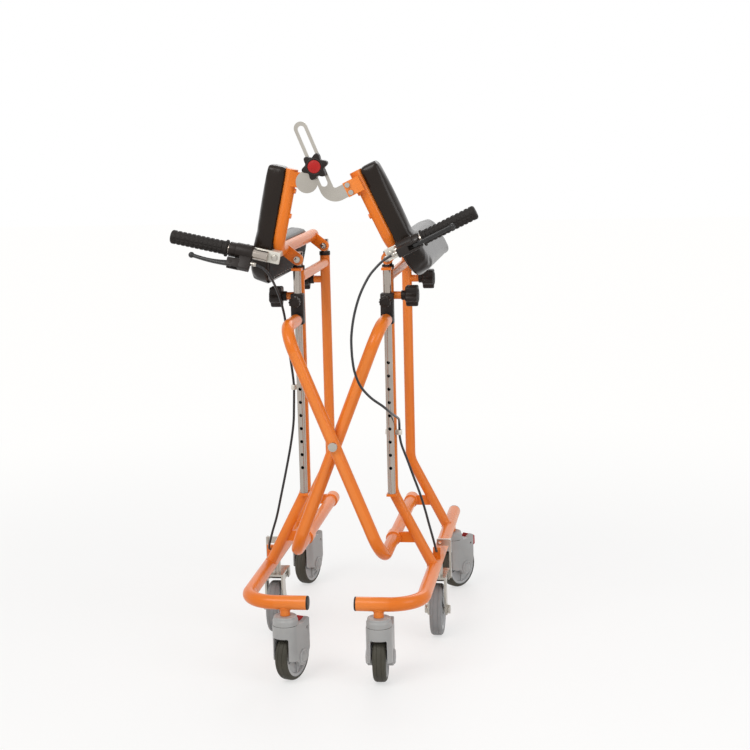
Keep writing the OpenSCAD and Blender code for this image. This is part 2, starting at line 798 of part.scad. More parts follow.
// L-shaped forearm pad, seated on the tube
module pad() {
  hidden_r = 1;
  difference() {
    translate([0, 0, pad_z]) linear_extrude(pad_t) {
      rounded_quad([-pad_inner, pad_y], [pad_outer - pad_front_r, pad_y + pad_cross],
                   [pad_corner_r, hidden_r, hidden_r, pad_corner_r]);
      rounded_quad([pad_outer - pad_side, pad_y], [pad_outer, pad_y + pad_long],
                   [hidden_r, pad_front_r, pad_corner_r, pad_rear_r]);
    }
    arm_path(arm_tube_d, pad_long);
  }
}

// Handle bar with its bracket and the brake lever's clamp
module handle_bar(s) {
  up = s < 0 ? left_clamp_up : right_clamp_up;
  turn = s < 0 ? left_lever_turn : right_lever_turn;
  plate_t = 8;
  plate_y0 = bar_y + bar_d / 2 - 2;
  plate_w = 24;
  plate_h = 62;
  difference() {
    union() {
      translate([-bar_in, bar_y, arm_up + 8]) cylinder(d = bar_d, h = up + grip_gap + grip_length - 4 - arm_up - 8);
      translate([-bar_in - plate_w / 2, plate_y0, arm_up - 14]) cube([plate_w, plate_t, plate_h]);
      translate([-bar_in - plate_w / 2, plate_y0 + plate_t, arm_up - 10])
        cube([plate_w / 2, arm_cross_y + arm_bend_r - plate_y0 - plate_t, 18]);
      translate([-bar_in, bar_y, up]) rotate([0, 0, turn]) brake_clamp();
    }
    arm_path(arm_tube_d, 0);
    translate([-bar_in, 0, arm_up - 4]) along_y(plate_y0 - over, plate_y0 + plate_t + over, 7);
  }
}

// Clamp of the brake lever: a collar, a yoke and the ferrule that the cable leaves
module brake_clamp() {
  yoke = lever_w / 2 + free;
  cylinder(d = clamp_d, h = clamp_len);
  translate([-9, -lever_out - 8, 0]) cube([18, lever_out, 24]);
  for (x = [-yoke - 5, yoke]) translate([x, -lever_out - 8, 20]) cube([5, 18, lever_pivot_up - 12]);
  translate([0, -lever_out, lever_pivot_up]) along_x(-yoke - 5, yoke + 5, lever_pin_d);
  translate([0, -ferrule_out, -ferrule_len]) cylinder(d = ferrule_d, h = ferrule_len);
}

module brake_lever(s) {
  up = s < 0 ? left_clamp_up : right_clamp_up;
  turn = s < 0 ? left_lever_turn : right_lever_turn;
  translate([-bar_in, bar_y, up]) rotate([0, 0, turn]) translate([0, -lever_out, lever_pivot_up]) difference() {
    union() {
      along_x(-lever_w / 2, lever_w / 2, 12);
      translate([-lever_w / 2, -4, 0]) cube([lever_w, lever_w, lever_length]);
      translate([0, 0, lever_length]) sphere(d = ball_d);
    }
    along_x(-lever_w, lever_w, lever_pin_d + 2 * run);
  }
}

// Ribbed grip over the end of the bar
module grip(s) {
  up = (s < 0 ? left_clamp_up : right_clamp_up) + grip_gap;
  ribs = floor((grip_length - 12) / rib_pitch);
  translate([-bar_in, bar_y, up]) difference() {
    cylinder(d = grip_d, h = grip_length);
    translate([0, 0, -over]) cylinder(d = bar_d, h = grip_length - 4 + over);
    for (i = [0 : ribs - 1]) translate([0, 0, 10 + i * rib_pitch]) rotate_extrude()
      translate([grip_d / 2 - rib_cut, 0]) square([2 * rib_cut, 3]);
  }
}

// Half-moon plate on the left armrest, which holds the link pin
module half_moon_plate() {
  pin = [-pin_reach * cos(pin_angle), -pin_reach * sin(pin_angle)];
  moon = [-left_tab_u, link_bolt_v - half_moon_r / 2 - 3];
  difference() {
    plate_y(tab_y - link_t, link_t) {
      translate(moon) circle(r = half_moon_r);
      capsule(pin, moon, link_w);
    }
    translate([pin[0], 0, pin[1]]) along_y(tab_y - 2 * link_t, tab_y + link_t, pin_d + 2 * run);
  }
}

// Slotted plate on the right armrest, which the link pin slides along, with its elbow up to the tab
module slotted_plate() {
  tab_front = link_y - 2 * free - link_tab_t;
  difference() {
    plate_y(link_y, link_t) mirror([1, 0]) {
      capsule(slot_neck, slot_far + 2 * slot_way, link_w);
      intersection() {
        difference() {
          translate(elbow) circle(r = elbow_r + link_w / 2);
          translate(elbow) circle(r = elbow_r - link_w / 2);
        }
        translate(elbow - [2 * link_w, 2 * link_w]) square([2 * link_w + 3, 2 * link_w]);
      }
      translate([-link_leg - link_w / 2, elbow[1] - 1]) square([link_w, link_bolt_v + 8 - elbow[1]]);
    }
    plate_y(link_y - over, link_t + 2 * over) mirror([1, 0]) capsule(slot_near, slot_far, slot_w);
  }
  for (u = link_bolts) translate([u, 0, link_bolt_v]) {
    along_y(tab_front - link_bolt_head, tab_front, link_bolt_d + 4);
    along_y(tab_front, link_y + link_t, link_bolt_d);
  }
}

// Star knob and pin that lock the link
module link_knob() {
  neck = 3;
  knob_y = link_y - free - neck - star_t;
  translate([-pin_reach * cos(pin_angle), 0, -pin_reach * sin(pin_angle)]) {
    translate([0, knob_y + star_t, 0]) rotate([90, 0, 0]) lobed_knob(star_d, star_t, 6);
    along_y(knob_y + star_t, knob_y + star_t + neck, 20);
    along_y(knob_y + star_t, tab_y + 4, pin_d);
    along_y(knob_y - 3, knob_y, star_d / 2);
  }
}

// Scissor brace, drawn with the lower end on the right

// One brace: a lower pivot tube, a slanted run and an upper stub
module brace_path(y, d, past) {
  run_length = brace_length - 2 * brace_bend_r;
  translate([pivot_x, y, brace_pivot_z]) rotate([0, -brace_angle, 0]) {
    translate([0, brace_bend_r, 0]) along_y(0, pivot_end_y - y - brace_bend_r + past, d);
    translate([0, 0, 0]) rotate([0, -90, 0]) mirror([1, 0, 0]) quarter_bend(brace_bend_r, d);
    translate([0, 0, brace_bend_r]) cylinder(d = d, h = run_length);
    translate([0, 0, brace_length]) rotate([0, -90, 0]) quarter_bend(brace_bend_r, d);
    translate([0, 0, brace_length]) along_y(brace_bend_r, stub_end_y - y + past, d);
  }
}

module brace(y) {
  difference() {
    union() {
      difference() {
        brace_path(y, brace_d, 0);
        brace_path(y, brace_d - 2 * brace_wall, -3);
      }
      translate([-pivot_x, 0, upper_pivot_z]) along_y(stub_end_y - 3, rail_y - rail_d / 2 - 2, shoulder_d);
    }
    translate([0, 0, brace_mid_z]) along_y(0, brace_back_y + brace_d, centre_bolt_d + 2 * run);
  }
}

// Bolt, washer and nut at the crossing of the braces
module crossing_bolt() {
  front = brace_y - brace_d / 2;
  back = brace_back_y + brace_d / 2;
  head = 6;
  translate([0, 0, brace_mid_z]) {
    along_y(front - free - head, back + free + head, centre_bolt_d);
    along_y(front - free - head, front - free, 18);
    along_y(back + free, back + free + head, 18);
    along_y(brace_y + brace_d / 2 + free, brace_back_y - brace_d / 2 - free, 20);
  }
}

// Slider on a rail, hung on the shoulder of a brace's upper stub
module slider() {
  translate([pivot_x, 0, upper_pivot_z]) difference() {
    union() {
      translate([-slider_w / 2, slider_front_y + 14, -slider_low])
        cube([slider_w, slider_back_y - slider_front_y - 14, slider_low + slider_high]);
      along_y(slider_front_y, slider_front_y + 15, slider_w - 2);
      translate([0, 0, plunger_up]) along_y(slider_front_y + 6, slider_front_y + 15, slider_w - 8);
    }
    translate([0, rail_y, -slider_low - over])
      cylinder(d = rail_d + 4 * run, h = slider_low + slider_high + 2 * over);
    along_y(slider_front_y - over, rail_y, shoulder_d + 2 * run);
    translate([0, 0, plunger_up]) along_y(slider_front_y, rail_y, plunger_pin_d + 2 * run);
  }
}

// Index plunger: a pull knob and a pin that drops into the rail
module plunger() {
  knob_y = slider_front_y + 6 - 7;
  translate([pivot_x, 0, plunger_z]) {
    along_y(knob_y, rail_y - rail_d / 2 - free, plunger_pin_d);
    along_y(knob_y - 14, knob_y, plunger_knob_d);
  }
}

// Casters, drawn with the swivel axis on Z and the wheel trailing towards +Y

module caster_place(x, y, swivel) {
  placed() translate([x, y, 0]) rotate([0, 0, -swivel]) children();
}

// Caster housing, round at the front, with a slot for the wheel and a notch for the pedal
module caster() {
  half = caster_body_w / 2;
  difference() {
    union() {
      intersection() {
        plate_x(-half, caster_body_w, [
          [-caster_front, crown_top], [-caster_front, axle_z], [caster_trail, axle_z - 8],
          [caster_rear - 10, axle_z - 10], [caster_rear, axle_z + 12], [caster_rear, crown_top + 4],
          [caster_rear - 6, crown_top + 7], [caster_rear - 22, crown_top]]);
        linear_extrude(caster_height) {
          circle(r = half);
          translate([-half, 0]) square([caster_body_w, caster_rear]);
        }
      }
      translate([0, caster_trail, axle_z]) along_x(-half, half, 36);
      translate([0, 0, crown_top]) cylinder(d = caster_collar_d, h = collar_t);
      translate([0, 0, crown_top]) cylinder(d = caster_collar_d - 4, h = caster_height - crown_top);
      translate([0, 0, caster_height]) cylinder(d = swivel_pin_d, h = pin_up);
    }
    difference() {
      translate([0, caster_trail, axle_z]) along_x(-wheel_slot_w / 2, wheel_slot_w / 2, 2 * wheel_slot_r);
      translate([0, caster_trail, axle_z]) along_x(-half, half, caster_axle_d);
    }
    translate([-wheel_slot_w / 2, -caster_front - over, 0])
      cube([wheel_slot_w, caster_front + over, wheel_slot_top]);
    translate([-pedal_w / 2 - free, pedal_y - 9, pedal_z - 12])
      cube([pedal_w + 2 * free, pedal_notch_l, pedal_notch_h]);
    translate([0, pedal_y, pedal_z]) along_x(-half - over, half + over, pedal_pin_d + 2 * run);
  }
}

module caster_wheel() {
  translate([0, caster_trail, axle_z]) wheel(caster_wheel_d, caster_wheel_w, caster_axle_d);
}

module caster_pedal() {
  translate([0, pedal_y, pedal_z]) {
    plate_x(-pedal_w / 2, pedal_w, [
      [-6, -3], [-6, 4], [12, 6], [22, 14], [28, 10], [29, -9], [25, -12], [20, -10], [18, -5], [10, -3]]);
    along_x(-caster_body_w / 2 + 4, caster_body_w / 2 - 4, pedal_pin_d);
  }
}

module caster_set(kind, x, y, swivel) {
  caster_place(x, y, swivel) {
    if (kind == "housing") color(grey) caster();
    if (kind == "wheel") color([0.24, 0.22, 0.21]) caster_wheel();
    if (kind == "pedal") color(red) caster_pedal();
  }
}

// Nodes

module right_base_tube() { color(orange) on_side(1) base_tube(); }
module right_front_upright() { color(orange) on_side(1) front_upright(); }
module right_rear_upright() { color(orange) on_side(1) rear_upright(); }
module right_top_rail() { color(orange) on_side(1) top_rail(); }
module right_slide_rail() { color(silver) on_side(1) slide_rail(); }
module right_trim() { color(black) on_side(1) trim(right_lower_route); }
module right_front_knob() { color(black) on_side(1) clamp_knob(front_upright_y); }
module right_rear_knob() { color(black) on_side(1) clamp_knob(rear_upright_y); }
module right_wheel_fork() { color(silver) on_side(1) wheel_fork(); }
module right_wheel() { color(grey) on_side(1) centre_wheel(); }
module right_brake_arm() { color(silver) on_side(1) brake_arm(); }
module right_posts() { color(silver) on_side(1) posts(); }
module right_armrest_tube() { color(orange) on_arm(1) armrest_tube(1); }
module right_pad() { color(black) on_arm(1) pad(); }
module right_handle_bar() { color(silver) on_arm(1) handle_bar(1); }
module right_grip() { color(black) on_arm(1) grip(1); }
module right_brake_lever() { color(black) on_arm(1) brake_lever(1); }
module right_link_plate() { color(silver) on_arm(1) slotted_plate(); }
module right_cable_upper() {
  color(black) placed() cord(right_upper_route, cable_d, cable_sides, cable_steps, [-1, 0.5, 1]);
}
module right_cable_lower() { color(black) placed() lower_cable(right_lower_route, 1); }
module right_slider() { color(black) on_side(1) slider(); }
module right_plunger() { color(black) on_side(1) plunger(); }

module left_base_tube() { color(orange) on_side(-1) base_tube(); }
module left_front_upright() { color(orange) on_side(-1) front_upright(); }
module left_rear_upright() { color(orange) on_side(-1) rear_upright(); }
module left_top_rail() { color(orange) on_side(-1) top_rail(); }
module left_slide_rail() { color(silver) on_side(-1) slide_rail(); }
module left_trim() { color(black) on_side(-1) trim(left_lower_route); }
module left_front_knob() { color(black) on_side(-1) clamp_knob(front_upright_y); }
module left_rear_knob() { color(black) on_side(-1) clamp_knob(rear_upright_y); }
module left_wheel_fork() { color(silver) on_side(-1) wheel_fork(); }
module left_wheel() { color(grey) on_side(-1) centre_wheel(); }
module left_brake_arm() { color(silver) on_side(-1) brake_arm(); }
module left_posts() { color(silver) on_side(-1) posts(); }
module left_armrest_tube() { color(orange) on_arm(-1) armrest_tube(-1); }
module left_pad() { color(black) on_arm(-1) pad(); }
module left_handle_bar() { color(silver) on_arm(-1) handle_bar(-1); }
module left_grip() { color(black) on_arm(-1) grip(-1); }
module left_brake_lever() { color(black) on_arm(-1) brake_lever(-1); }
module left_link_plate() { color(silver) on_arm(-1) half_moon_plate(); }
module left_cable_upper() {
  color(black) placed() cord(left_upper_route, cable_d, cable_sides, cable_steps, [1, 0.5, 1]);
}
module left_cable_lower() { color(black) placed() lower_cable(left_lower_route, -1); }
module left_slider() { color(black) on_side(-1) slider(); }
module left_plunger() { color(black) on_side(-1) plunger(); }

// Lower cable in its sheath, then the bare wire through the crank's eye to its end stop
module lower_cable(route, s) {
  cord(route, cable_d, cable_sides, cable_steps, [-s, 0.5, 1]);
  translate([s * (base_x + wire_x), 0, wire_z]) {
    along_y(lug_y, centre_wheel_y + ear_y + 6, wire_d);
    along_y(centre_wheel_y + ear_y + 4, centre_wheel_y + ear_y + 11, cable_d + 3);
  }
}

module brace_front() { color(orange) on_side(1) brace(brace_y); }
module brace_rear() { color(orange) on_side(-1) brace(brace_back_y); }
module centre_bolt() { color(silver) placed() crossing_bolt(); }
module star_knob() { color(black) on_arm(-1) link_knob(); }

right_base_tube();
right_front_upright();
right_rear_upright();
right_top_rail();
right_slide_rail();
right_trim();
right_front_knob();
right_rear_knob();
right_wheel_fork();
right_wheel();
right_brake_arm();
right_posts();
right_armrest_tube();
right_pad();
right_handle_bar();
right_grip();
right_brake_lever();
right_link_plate();
right_cable_upper();
right_cable_lower();
right_slider();
right_plunger();
left_base_tube();
left_front_upright();
left_rear_upright();
left_top_rail();
left_slide_rail();
left_trim();
left_front_knob();
left_rear_knob();
left_wheel_fork();
left_wheel();
left_brake_arm();
left_posts();
left_armrest_tube();
left_pad();
left_handle_bar();
left_grip();
left_brake_lever();
left_link_plate();
left_cable_upper();
left_cable_lower();
left_slider();
left_plunger();
brace_front();
brace_rear();
centre_bolt();
star_knob();
caster_set("housing", front_stem_x, 0, front_right_swivel);  // front_right_caster
caster_set("wheel", front_stem_x, 0, front_right_swivel);  // front_right_caster_wheel
caster_set("pedal", front_stem_x, 0, front_right_swivel);  // front_right_caster_pedal
caster_set("housing", -front_stem_x, 0, front_left_swivel);  // front_left_caster
caster_set("wheel", -front_stem_x, 0, front_left_swivel);  // front_left_caster_wheel
caster_set("pedal", -front_stem_x, 0, front_left_swivel);  // front_left_caster_pedal
caster_set("housing", base_x, rear_stem_y, rear_right_swivel);  // rear_right_caster
caster_set("wheel", base_x, rear_stem_y, rear_right_swivel);  // rear_right_caster_wheel
caster_set("pedal", base_x, rear_stem_y, rear_right_swivel);  // rear_right_caster_pedal
caster_set("housing", -base_x, rear_stem_y, rear_left_swivel);  // rear_left_caster
caster_set("wheel", -base_x, rear_stem_y, rear_left_swivel);  // rear_left_caster_wheel
caster_set("pedal", -base_x, rear_stem_y, rear_left_swivel);  // rear_left_caster_pedal
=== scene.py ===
"""Looks of a folding forearm walker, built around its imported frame."""

import json
import math

import bmesh
import bpy
from mathutils import Matrix, Vector


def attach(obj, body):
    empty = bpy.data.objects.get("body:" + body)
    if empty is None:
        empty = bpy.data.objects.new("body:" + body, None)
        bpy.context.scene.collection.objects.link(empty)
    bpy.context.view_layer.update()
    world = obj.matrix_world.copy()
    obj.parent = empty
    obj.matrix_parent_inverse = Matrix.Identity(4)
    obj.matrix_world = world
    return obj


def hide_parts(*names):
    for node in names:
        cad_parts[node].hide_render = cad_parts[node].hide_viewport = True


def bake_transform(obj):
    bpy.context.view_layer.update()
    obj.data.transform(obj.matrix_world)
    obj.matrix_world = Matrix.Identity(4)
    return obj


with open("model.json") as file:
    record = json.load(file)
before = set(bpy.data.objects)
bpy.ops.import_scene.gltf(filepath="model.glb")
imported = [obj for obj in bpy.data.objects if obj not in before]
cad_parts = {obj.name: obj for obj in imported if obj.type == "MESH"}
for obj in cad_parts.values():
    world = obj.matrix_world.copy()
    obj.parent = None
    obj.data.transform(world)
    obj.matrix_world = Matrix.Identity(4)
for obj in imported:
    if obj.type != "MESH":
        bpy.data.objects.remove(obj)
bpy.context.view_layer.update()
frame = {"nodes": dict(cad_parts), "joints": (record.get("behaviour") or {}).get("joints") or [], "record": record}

MM = 0.001
record = frame["record"]
joints = {joint["name"]: joint for joint in frame["joints"]}
scene = bpy.context.scene


# Places, worked out from the frame

def joint_place(name):
    return Vector(joints[name]["pos_m"])


MIDDLE_X = (joint_place("right_armrest_tilt").x + joint_place("left_armrest_tilt").x) / 2
FRONT_Y = joint_place("front_right_caster_swivel").y
PIVOT_X = (joint_place("right_armrest_tilt").x - MIDDLE_X) / MM
ARM_Z = joint_place("right_armrest_tilt").z / MM
BASE_X = (joint_place("right_wheel_spin").x - MIDDLE_X) / MM
SIDES = ("right", "left")

# Sizes of the frame in millimetres
BASE_Z = 163
BASE_R = 14
BASE_END_Y = 720
BASE_FOOT = 126
LEG_BEND_Z = 325
UPRIGHT_R = 11
UPRIGHTS = (255, 570)
BOSS_LENGTH = 15
CLAMP_Z = 735
TOP_RAIL_R = 10
TOP_RAIL_Z = 772
STEM_R = 10
BRACE_R = 12.5
BRACE_PLANES = (82, 110)
CLEARANCE = 0.4


def mm(x, y, z):
    """Place in millimetres from the middle plane, the front casters' axis and the floor."""
    return Vector((MIDDLE_X + x * MM, FRONT_Y + y * MM, z * MM))


def at(x, y, z, turn=Matrix()):
    """Matrix that puts a piece drawn in millimetres at that place."""
    return Matrix.Translation(mm(x, y, z)) @ turn @ Matrix.Scale(MM, 4)


def turned(degrees, axis):
    return Matrix.Rotation(math.radians(degrees), 4, axis)


def shifted(x, y, z):
    return Matrix.Translation(Vector((x, y, z)))


MIRROR = Matrix.Diagonal((-1, 1, 1, 1))
ALONG_Y = turned(-90, "X")
ALONG_X = turned(90, "Y")
REST_AXES = {mount["name"]: Vector(mount["axis"]) for mount in record["mounts"]}


def rest_axis(side):
    """Direction that points straight up from a forearm rest."""
    return REST_AXES[side + "_forearm_rest"]


def arm_angle(side):
    """Tilt of an armrest from level, in degrees."""
    axis = rest_axis(side)
    return math.degrees(math.atan2(abs(axis.x), axis.z))


ARM = {
    "right": at(PIVOT_X, 0, ARM_Z, turned(arm_angle("right"), "Y")),
    "left": at(-PIVOT_X, 0, ARM_Z, MIRROR @ turned(arm_angle("left"), "Y"))}


def side_at(side, x, y, z, turn=Matrix()):
    """Matrix for a piece of a side frame, mirrored on the left."""
    if side == "right":
        return at(x, y, z, turn)
    return at(-x, y, z, MIRROR @ turn)


# Camera, at the photograph's angle

def make_camera():
    data = bpy.data.cameras.new("camera")
    camera = bpy.data.objects.new("camera", data)
    scene.collection.objects.link(camera)
    focal_pixels = 1600
    image_pixels = 750
    data.sensor_width = 36
    data.lens = data.sensor_width * focal_pixels / image_pixels
    look_left = 8.16
    look_down = 9.61
    roll = -1.39
    turn = turned(look_left, "Z") @ turned(90 - look_down, "X") @ turned(roll, "Z")
    stand = mm(520, -2953, 1119)
    camera.matrix_world = Matrix.Translation(stand) @ turn
    scene.camera = camera


make_camera()


# Materials

def new_material(name):
    material = bpy.data.materials.new(name)
    material.use_nodes = True
    tree = material.node_tree
    shader = tree.nodes["Principled BSDF"]
    return material, tree, shader


def add(tree, kind, **values):
    made = tree.nodes.new(kind)
    for key, value in values.items():
        if hasattr(made, key):
            setattr(made, key, value)
        else:
            made.inputs[key.replace("_", " ")].default_value = value
    return made


def noise(tree, scale, detail=4.0, stretch=(1, 1, 1)):
    """Noise in the piece's own space, with scale counted per metre."""
    place = add(tree, "ShaderNodeTexCoord")
    mapping = add(tree, "ShaderNodeMapping")
    mapping.inputs["Scale"].default_value = stretch
    texture = add(tree, "ShaderNodeTexNoise", Scale=scale, Detail=detail)
    tree.links.new(place.outputs["Object"], mapping.inputs["Vector"])
    tree.links.new(mapping.outputs["Vector"], texture.inputs["Vector"])
    return texture.outputs["Fac"]


def ramp(tree, value, low, high, start=0.3, end=0.7):
    made = add(tree, "ShaderNodeValToRGB")
    made.color_ramp.elements[0].position = start
    made.color_ramp.elements[0].color = (*low, 1)
    made.color_ramp.elements[1].position = end
    made.color_ramp.elements[1].color = (*high, 1)
    tree.links.new(value, made.inputs["Fac"])
    return made.outputs["Color"]


def span(tree, value, low, high):
    made = add(tree, "ShaderNodeMapRange")
    made.inputs["To Min"].default_value = low
    made.inputs["To Max"].default_value = high
    tree.links.new(value, made.inputs["Value"])
    return made.outputs["Result"]


def bump(tree, shader, height, strength, distance):
    made = add(tree, "ShaderNodeBump", Strength=strength, Distance=distance)
    tree.links.new(height, made.inputs["Height"])
    tree.links.new(made.outputs["Normal"], shader.inputs["Normal"])


def paler_edges(tree, color, edge_color, amount):
    """Mixes a paler colour into raised edges."""
    geometry = add(tree, "ShaderNodeNewGeometry")
    edge = add(tree, "ShaderNodeMapRange")
    edge.inputs["From Min"].default_value = 0.52
    edge.inputs["From Max"].default_value = 0.62
    edge.inputs["To Max"].default_value = amount
    tree.links.new(geometry.outputs["Pointiness"], edge.inputs["Value"])
    mix = add(tree, "ShaderNodeMix", data_type="RGBA")
    tree.links.new(edge.outputs["Result"], mix.inputs["Factor"])
    tree.links.new(color, mix.inputs["A"])
    mix.inputs["B"].default_value = (*edge_color, 1)
    return mix.outputs["Result"]


def surface(name, low, high, rough, scale, grain, grain_depth, metallic=0.0, edge=None, **sockets):
    """A finish whose colour drifts between two tones, with a fine grain and a drifting roughness."""
    material, tree, shader = new_material(name)
    shader.inputs["Metallic"].default_value = metallic
    for socket, value in sockets.items():
        shader.inputs[socket.replace("_", " ")].default_value = value
    drift = noise(tree, scale, 5.0)
    color = ramp(tree, drift, low, high)
    # Raised edges, found by pointiness, are mixed towards a paler colour.
    if edge:
        color = paler_edges(tree, color, edge, 0.5)
    tree.links.new(color, shader.inputs["Base Color"])
    tree.links.new(span(tree, drift, rough[0], rough[1]), shader.inputs["Roughness"])
    bump(tree, shader, noise(tree, grain, 3.0), 0.35, grain_depth)
    return material


def leather_grain(name, low, high):
    """Embossed vinyl: small rounded cells with soft creases under a smooth skin."""
    material, tree, shader = new_material(name)
    place = add(tree, "ShaderNodeTexCoord")
    cells = add(tree, "ShaderNodeTexVoronoi", feature="SMOOTH_F1", Scale=520.0, Smoothness=0.6)
    tree.links.new(place.outputs["Object"], cells.inputs["Vector"])
    drift = noise(tree, 9.0, 4.0)
    tree.links.new(ramp(tree, drift, low, high), shader.inputs["Base Color"])
    tree.links.new(span(tree, drift, 0.2, 0.28), shader.inputs["Roughness"])
    shader.inputs["Specular IOR Level"].default_value = 0.22
    bump(tree, shader, cells.outputs["Distance"], 0.14, 0.0003)
    return material


def brushed(name, low, high, rough, stretch):
    """Metal with fine lines along one direction."""
    material, tree, shader = new_material(name)
    shader.inputs["Metallic"].default_value = 1.0
    lines = noise(tree, 60.0, 6.0, stretch)
    tree.links.new(ramp(tree, noise(tree, 14.0), low, high), shader.inputs["Base Color"])
    tree.links.new(span(tree, lines, rough[0], rough[1]), shader.inputs["Roughness"])
    bump(tree, shader, lines, 0.12, 0.0002)
    return material


MATERIALS = {
    "frame_orange": surface(
        "orange powder coat", (0.73, 0.165, 0.010), (0.80, 0.195, 0.017), (0.24, 0.34), 7.0, 900.0, 0.0003,
        edge=(0.88, 0.30, 0.08), Specular_IOR_Level=0.24, Coat_Weight=0.12, Coat_Roughness=0.06),
    "rail_chrome": brushed(
        "chrome tube", (0.37, 0.325, 0.285), (0.45, 0.40, 0.355), (0.10, 0.22), (1, 1, 0.03)),
    "zinc_steel": brushed(
        "zinc plated steel", (0.43, 0.40, 0.355), (0.53, 0.50, 0.45), (0.2, 0.36), (1, 1, 0.2)),
    "bar_alloy": surface(
        "cream lacquered alloy", (0.64, 0.61, 0.54), (0.72, 0.69, 0.62), (0.28, 0.4), 20.0, 1200.0, 0.0002,
        metallic=0.45),
    "black_plastic": surface(
        "black moulded plastic", (0.012, 0.0075, 0.0055), (0.018, 0.0125, 0.010), (0.38, 0.5),
        30.0, 2400.0, 0.0002, edge=(0.045, 0.04, 0.038), Specular_IOR_Level=0.24),
    "pad_vinyl": leather_grain("black vinyl", (0.012, 0.007, 0.0045), (0.017, 0.011, 0.0075)),
    "grip_rubber": surface(
        "black rubber", (0.011, 0.0085, 0.007), (0.018, 0.0145, 0.0125), (0.5, 0.66), 40.0, 3000.0, 0.0003,
        edge=(0.04, 0.038, 0.036), Specular_IOR_Level=0.24),
    "lever_black": surface(
        "black lever paint", (0.013, 0.0125, 0.012), (0.020, 0.019, 0.0185), (0.3, 0.42),
        25.0, 1500.0, 0.0002, edge=(0.10, 0.10, 0.10), Specular_IOR_Level=0.3, Coat_Weight=0.1),
    "caster_grey": surface(
        "grey moulded nylon", (0.325, 0.32, 0.31), (0.385, 0.38, 0.37), (0.3, 0.42), 18.0, 2000.0, 0.0002,
        edge=(0.46, 0.46, 0.46)),
    "caster_tyre": surface(
        "dark tyre", (0.042, 0.038, 0.027), (0.064, 0.059, 0.044), (0.5, 0.68), 26.0, 1600.0, 0.0004,
        edge=(0.10, 0.095, 0.08), Specular_IOR_Level=0.28),
    "wheel_grey": surface(
        "grey tyre", (0.20, 0.20, 0.20), (0.26, 0.26, 0.26), (0.5, 0.66), 22.0, 1600.0, 0.0004,
        edge=(0.33, 0.33, 0.33)),
    "pedal_red": surface(
        "red gloss plastic", (0.36, 0.006, 0.005), (0.42, 0.010, 0.008), (0.26, 0.38), 30.0, 1800.0, 0.0002,
        edge=(0.50, 0.06, 0.05), Specular_IOR_Level=0.26, Coat_Weight=0.1),
    "cable_black": surface(
        "black cable sheath", (0.010, 0.010, 0.011), (0.018, 0.018, 0.019), (0.3, 0.42),
        40.0, 2600.0, 0.0002),
}
GREY_HUB = surface(
    "pale grey hub", (0.36, 0.36, 0.36), (0.42, 0.42, 0.41), (0.38, 0.5), 24.0, 2000.0, 0.0002,
    edge=(0.55, 0.55, 0.55))
UNDERSIDE = surface(
    "black lining", (0.012, 0.012, 0.012), (0.02, 0.02, 0.02), (0.8, 0.95), 60.0, 3200.0, 0.0005)


def dress_frame():
    """Gives every CAD node the material of its slot."""
    for entry in record["subparts"]:
        data = frame["nodes"][entry["node"]].data
        data.materials.clear()
        data.materials.append(MATERIALS[entry["material_slot"]])


dress_frame()


# Mesh helpers

def finish_piece(name, mesh, matrix, slot, body, material=None, smooth_angle=35):
    """Turns a mesh drawn in millimetres into a piece that rides on a body."""
    mesh.transform(matrix)
    bmesh.ops.remove_doubles(mesh, verts=mesh.verts, dist=1e-7)
    bmesh.ops.recalc_face_normals(mesh, faces=mesh.faces)
    data = bpy.data.meshes.new(name)
    mesh.to_mesh(data)
    mesh.free()
    for polygon in data.polygons:
        polygon.use_smooth = True
    data.set_sharp_from_angle(angle=math.radians(smooth_angle))
    data.materials.append(material or MATERIALS[slot])
    piece = bpy.data.objects.new(name, data)
    scene.collection.objects.link(piece)
    if body:
        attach(piece, body)
    return piece


def lathe(profile, steps=48):
    """Mesh of revolution about Z, from [radius, height] points; a radius of 0 closes an end."""
    mesh = bmesh.new()
    rings = []
    for radius, height in profile:
        if radius < 1e-6:
            rings.append([mesh.verts.new((0, 0, height))])
            continue
        rings.append([
            mesh.verts.new((radius * math.cos(a), radius * math.sin(a), height))
            for a in (math.tau * k / steps for k in range(steps))])
    for low, high in zip(rings, rings[1:]):
        for k in range(steps):
            corners = [
                low[k % len(low)], low[(k + 1) % len(low)],
                high[(k + 1) % len(high)], high[k % len(high)]]
            unique = list(dict.fromkeys(corners))
            if len(unique) > 2:
                mesh.faces.new(unique)
    return mesh


def rounded(radius, low, high, corner, steps=4):
    """Profile of a solid disc or rod with rounded rims, for lathe."""
    points = [(0, low)]
    for k in range(steps + 1):
        a = math.pi / 2 * k / steps
        points.append((radius - corner + corner * math.sin(a), low + corner - corner * math.cos(a)))
    for k in range(steps + 1):
        a = math.pi / 2 * k / steps
        points.append((radius - corner + corner * math.cos(a), high - corner + corner * math.sin(a)))
    return points + [(0, high)]


def prism(outline, depth, bevel=0.8, segments=2):
    """Outline in XY drawn up Z, with rounded edges."""
    mesh = bmesh.new()
    bottom = [mesh.verts.new((x, y, 0)) for x, y in outline]
    face = mesh.faces.new(bottom)
    made = bmesh.ops.extrude_face_region(mesh, geom=[face])
    top = [v for v in made["geom"] if isinstance(v, bmesh.types.BMVert)]
    bmesh.ops.translate(mesh, verts=top, vec=(0, 0, depth))
    bmesh.ops.recalc_face_normals(mesh, faces=mesh.faces)
    if bevel:
        edges = [e for e in mesh.edges if e.calc_face_angle(0) > math.radians(30)]
        bmesh.ops.bevel(
            mesh, geom=edges, offset=bevel, segments=segments, profile=0.5, affect="EDGES",
            clamp_overlap=True)
    return mesh


def block(size, bevel=1.0):
    """Box from one corner, with rounded edges."""
    x, y, z = size
    return prism([(0, 0), (x, 0), (x, y), (0, y)], z, bevel)


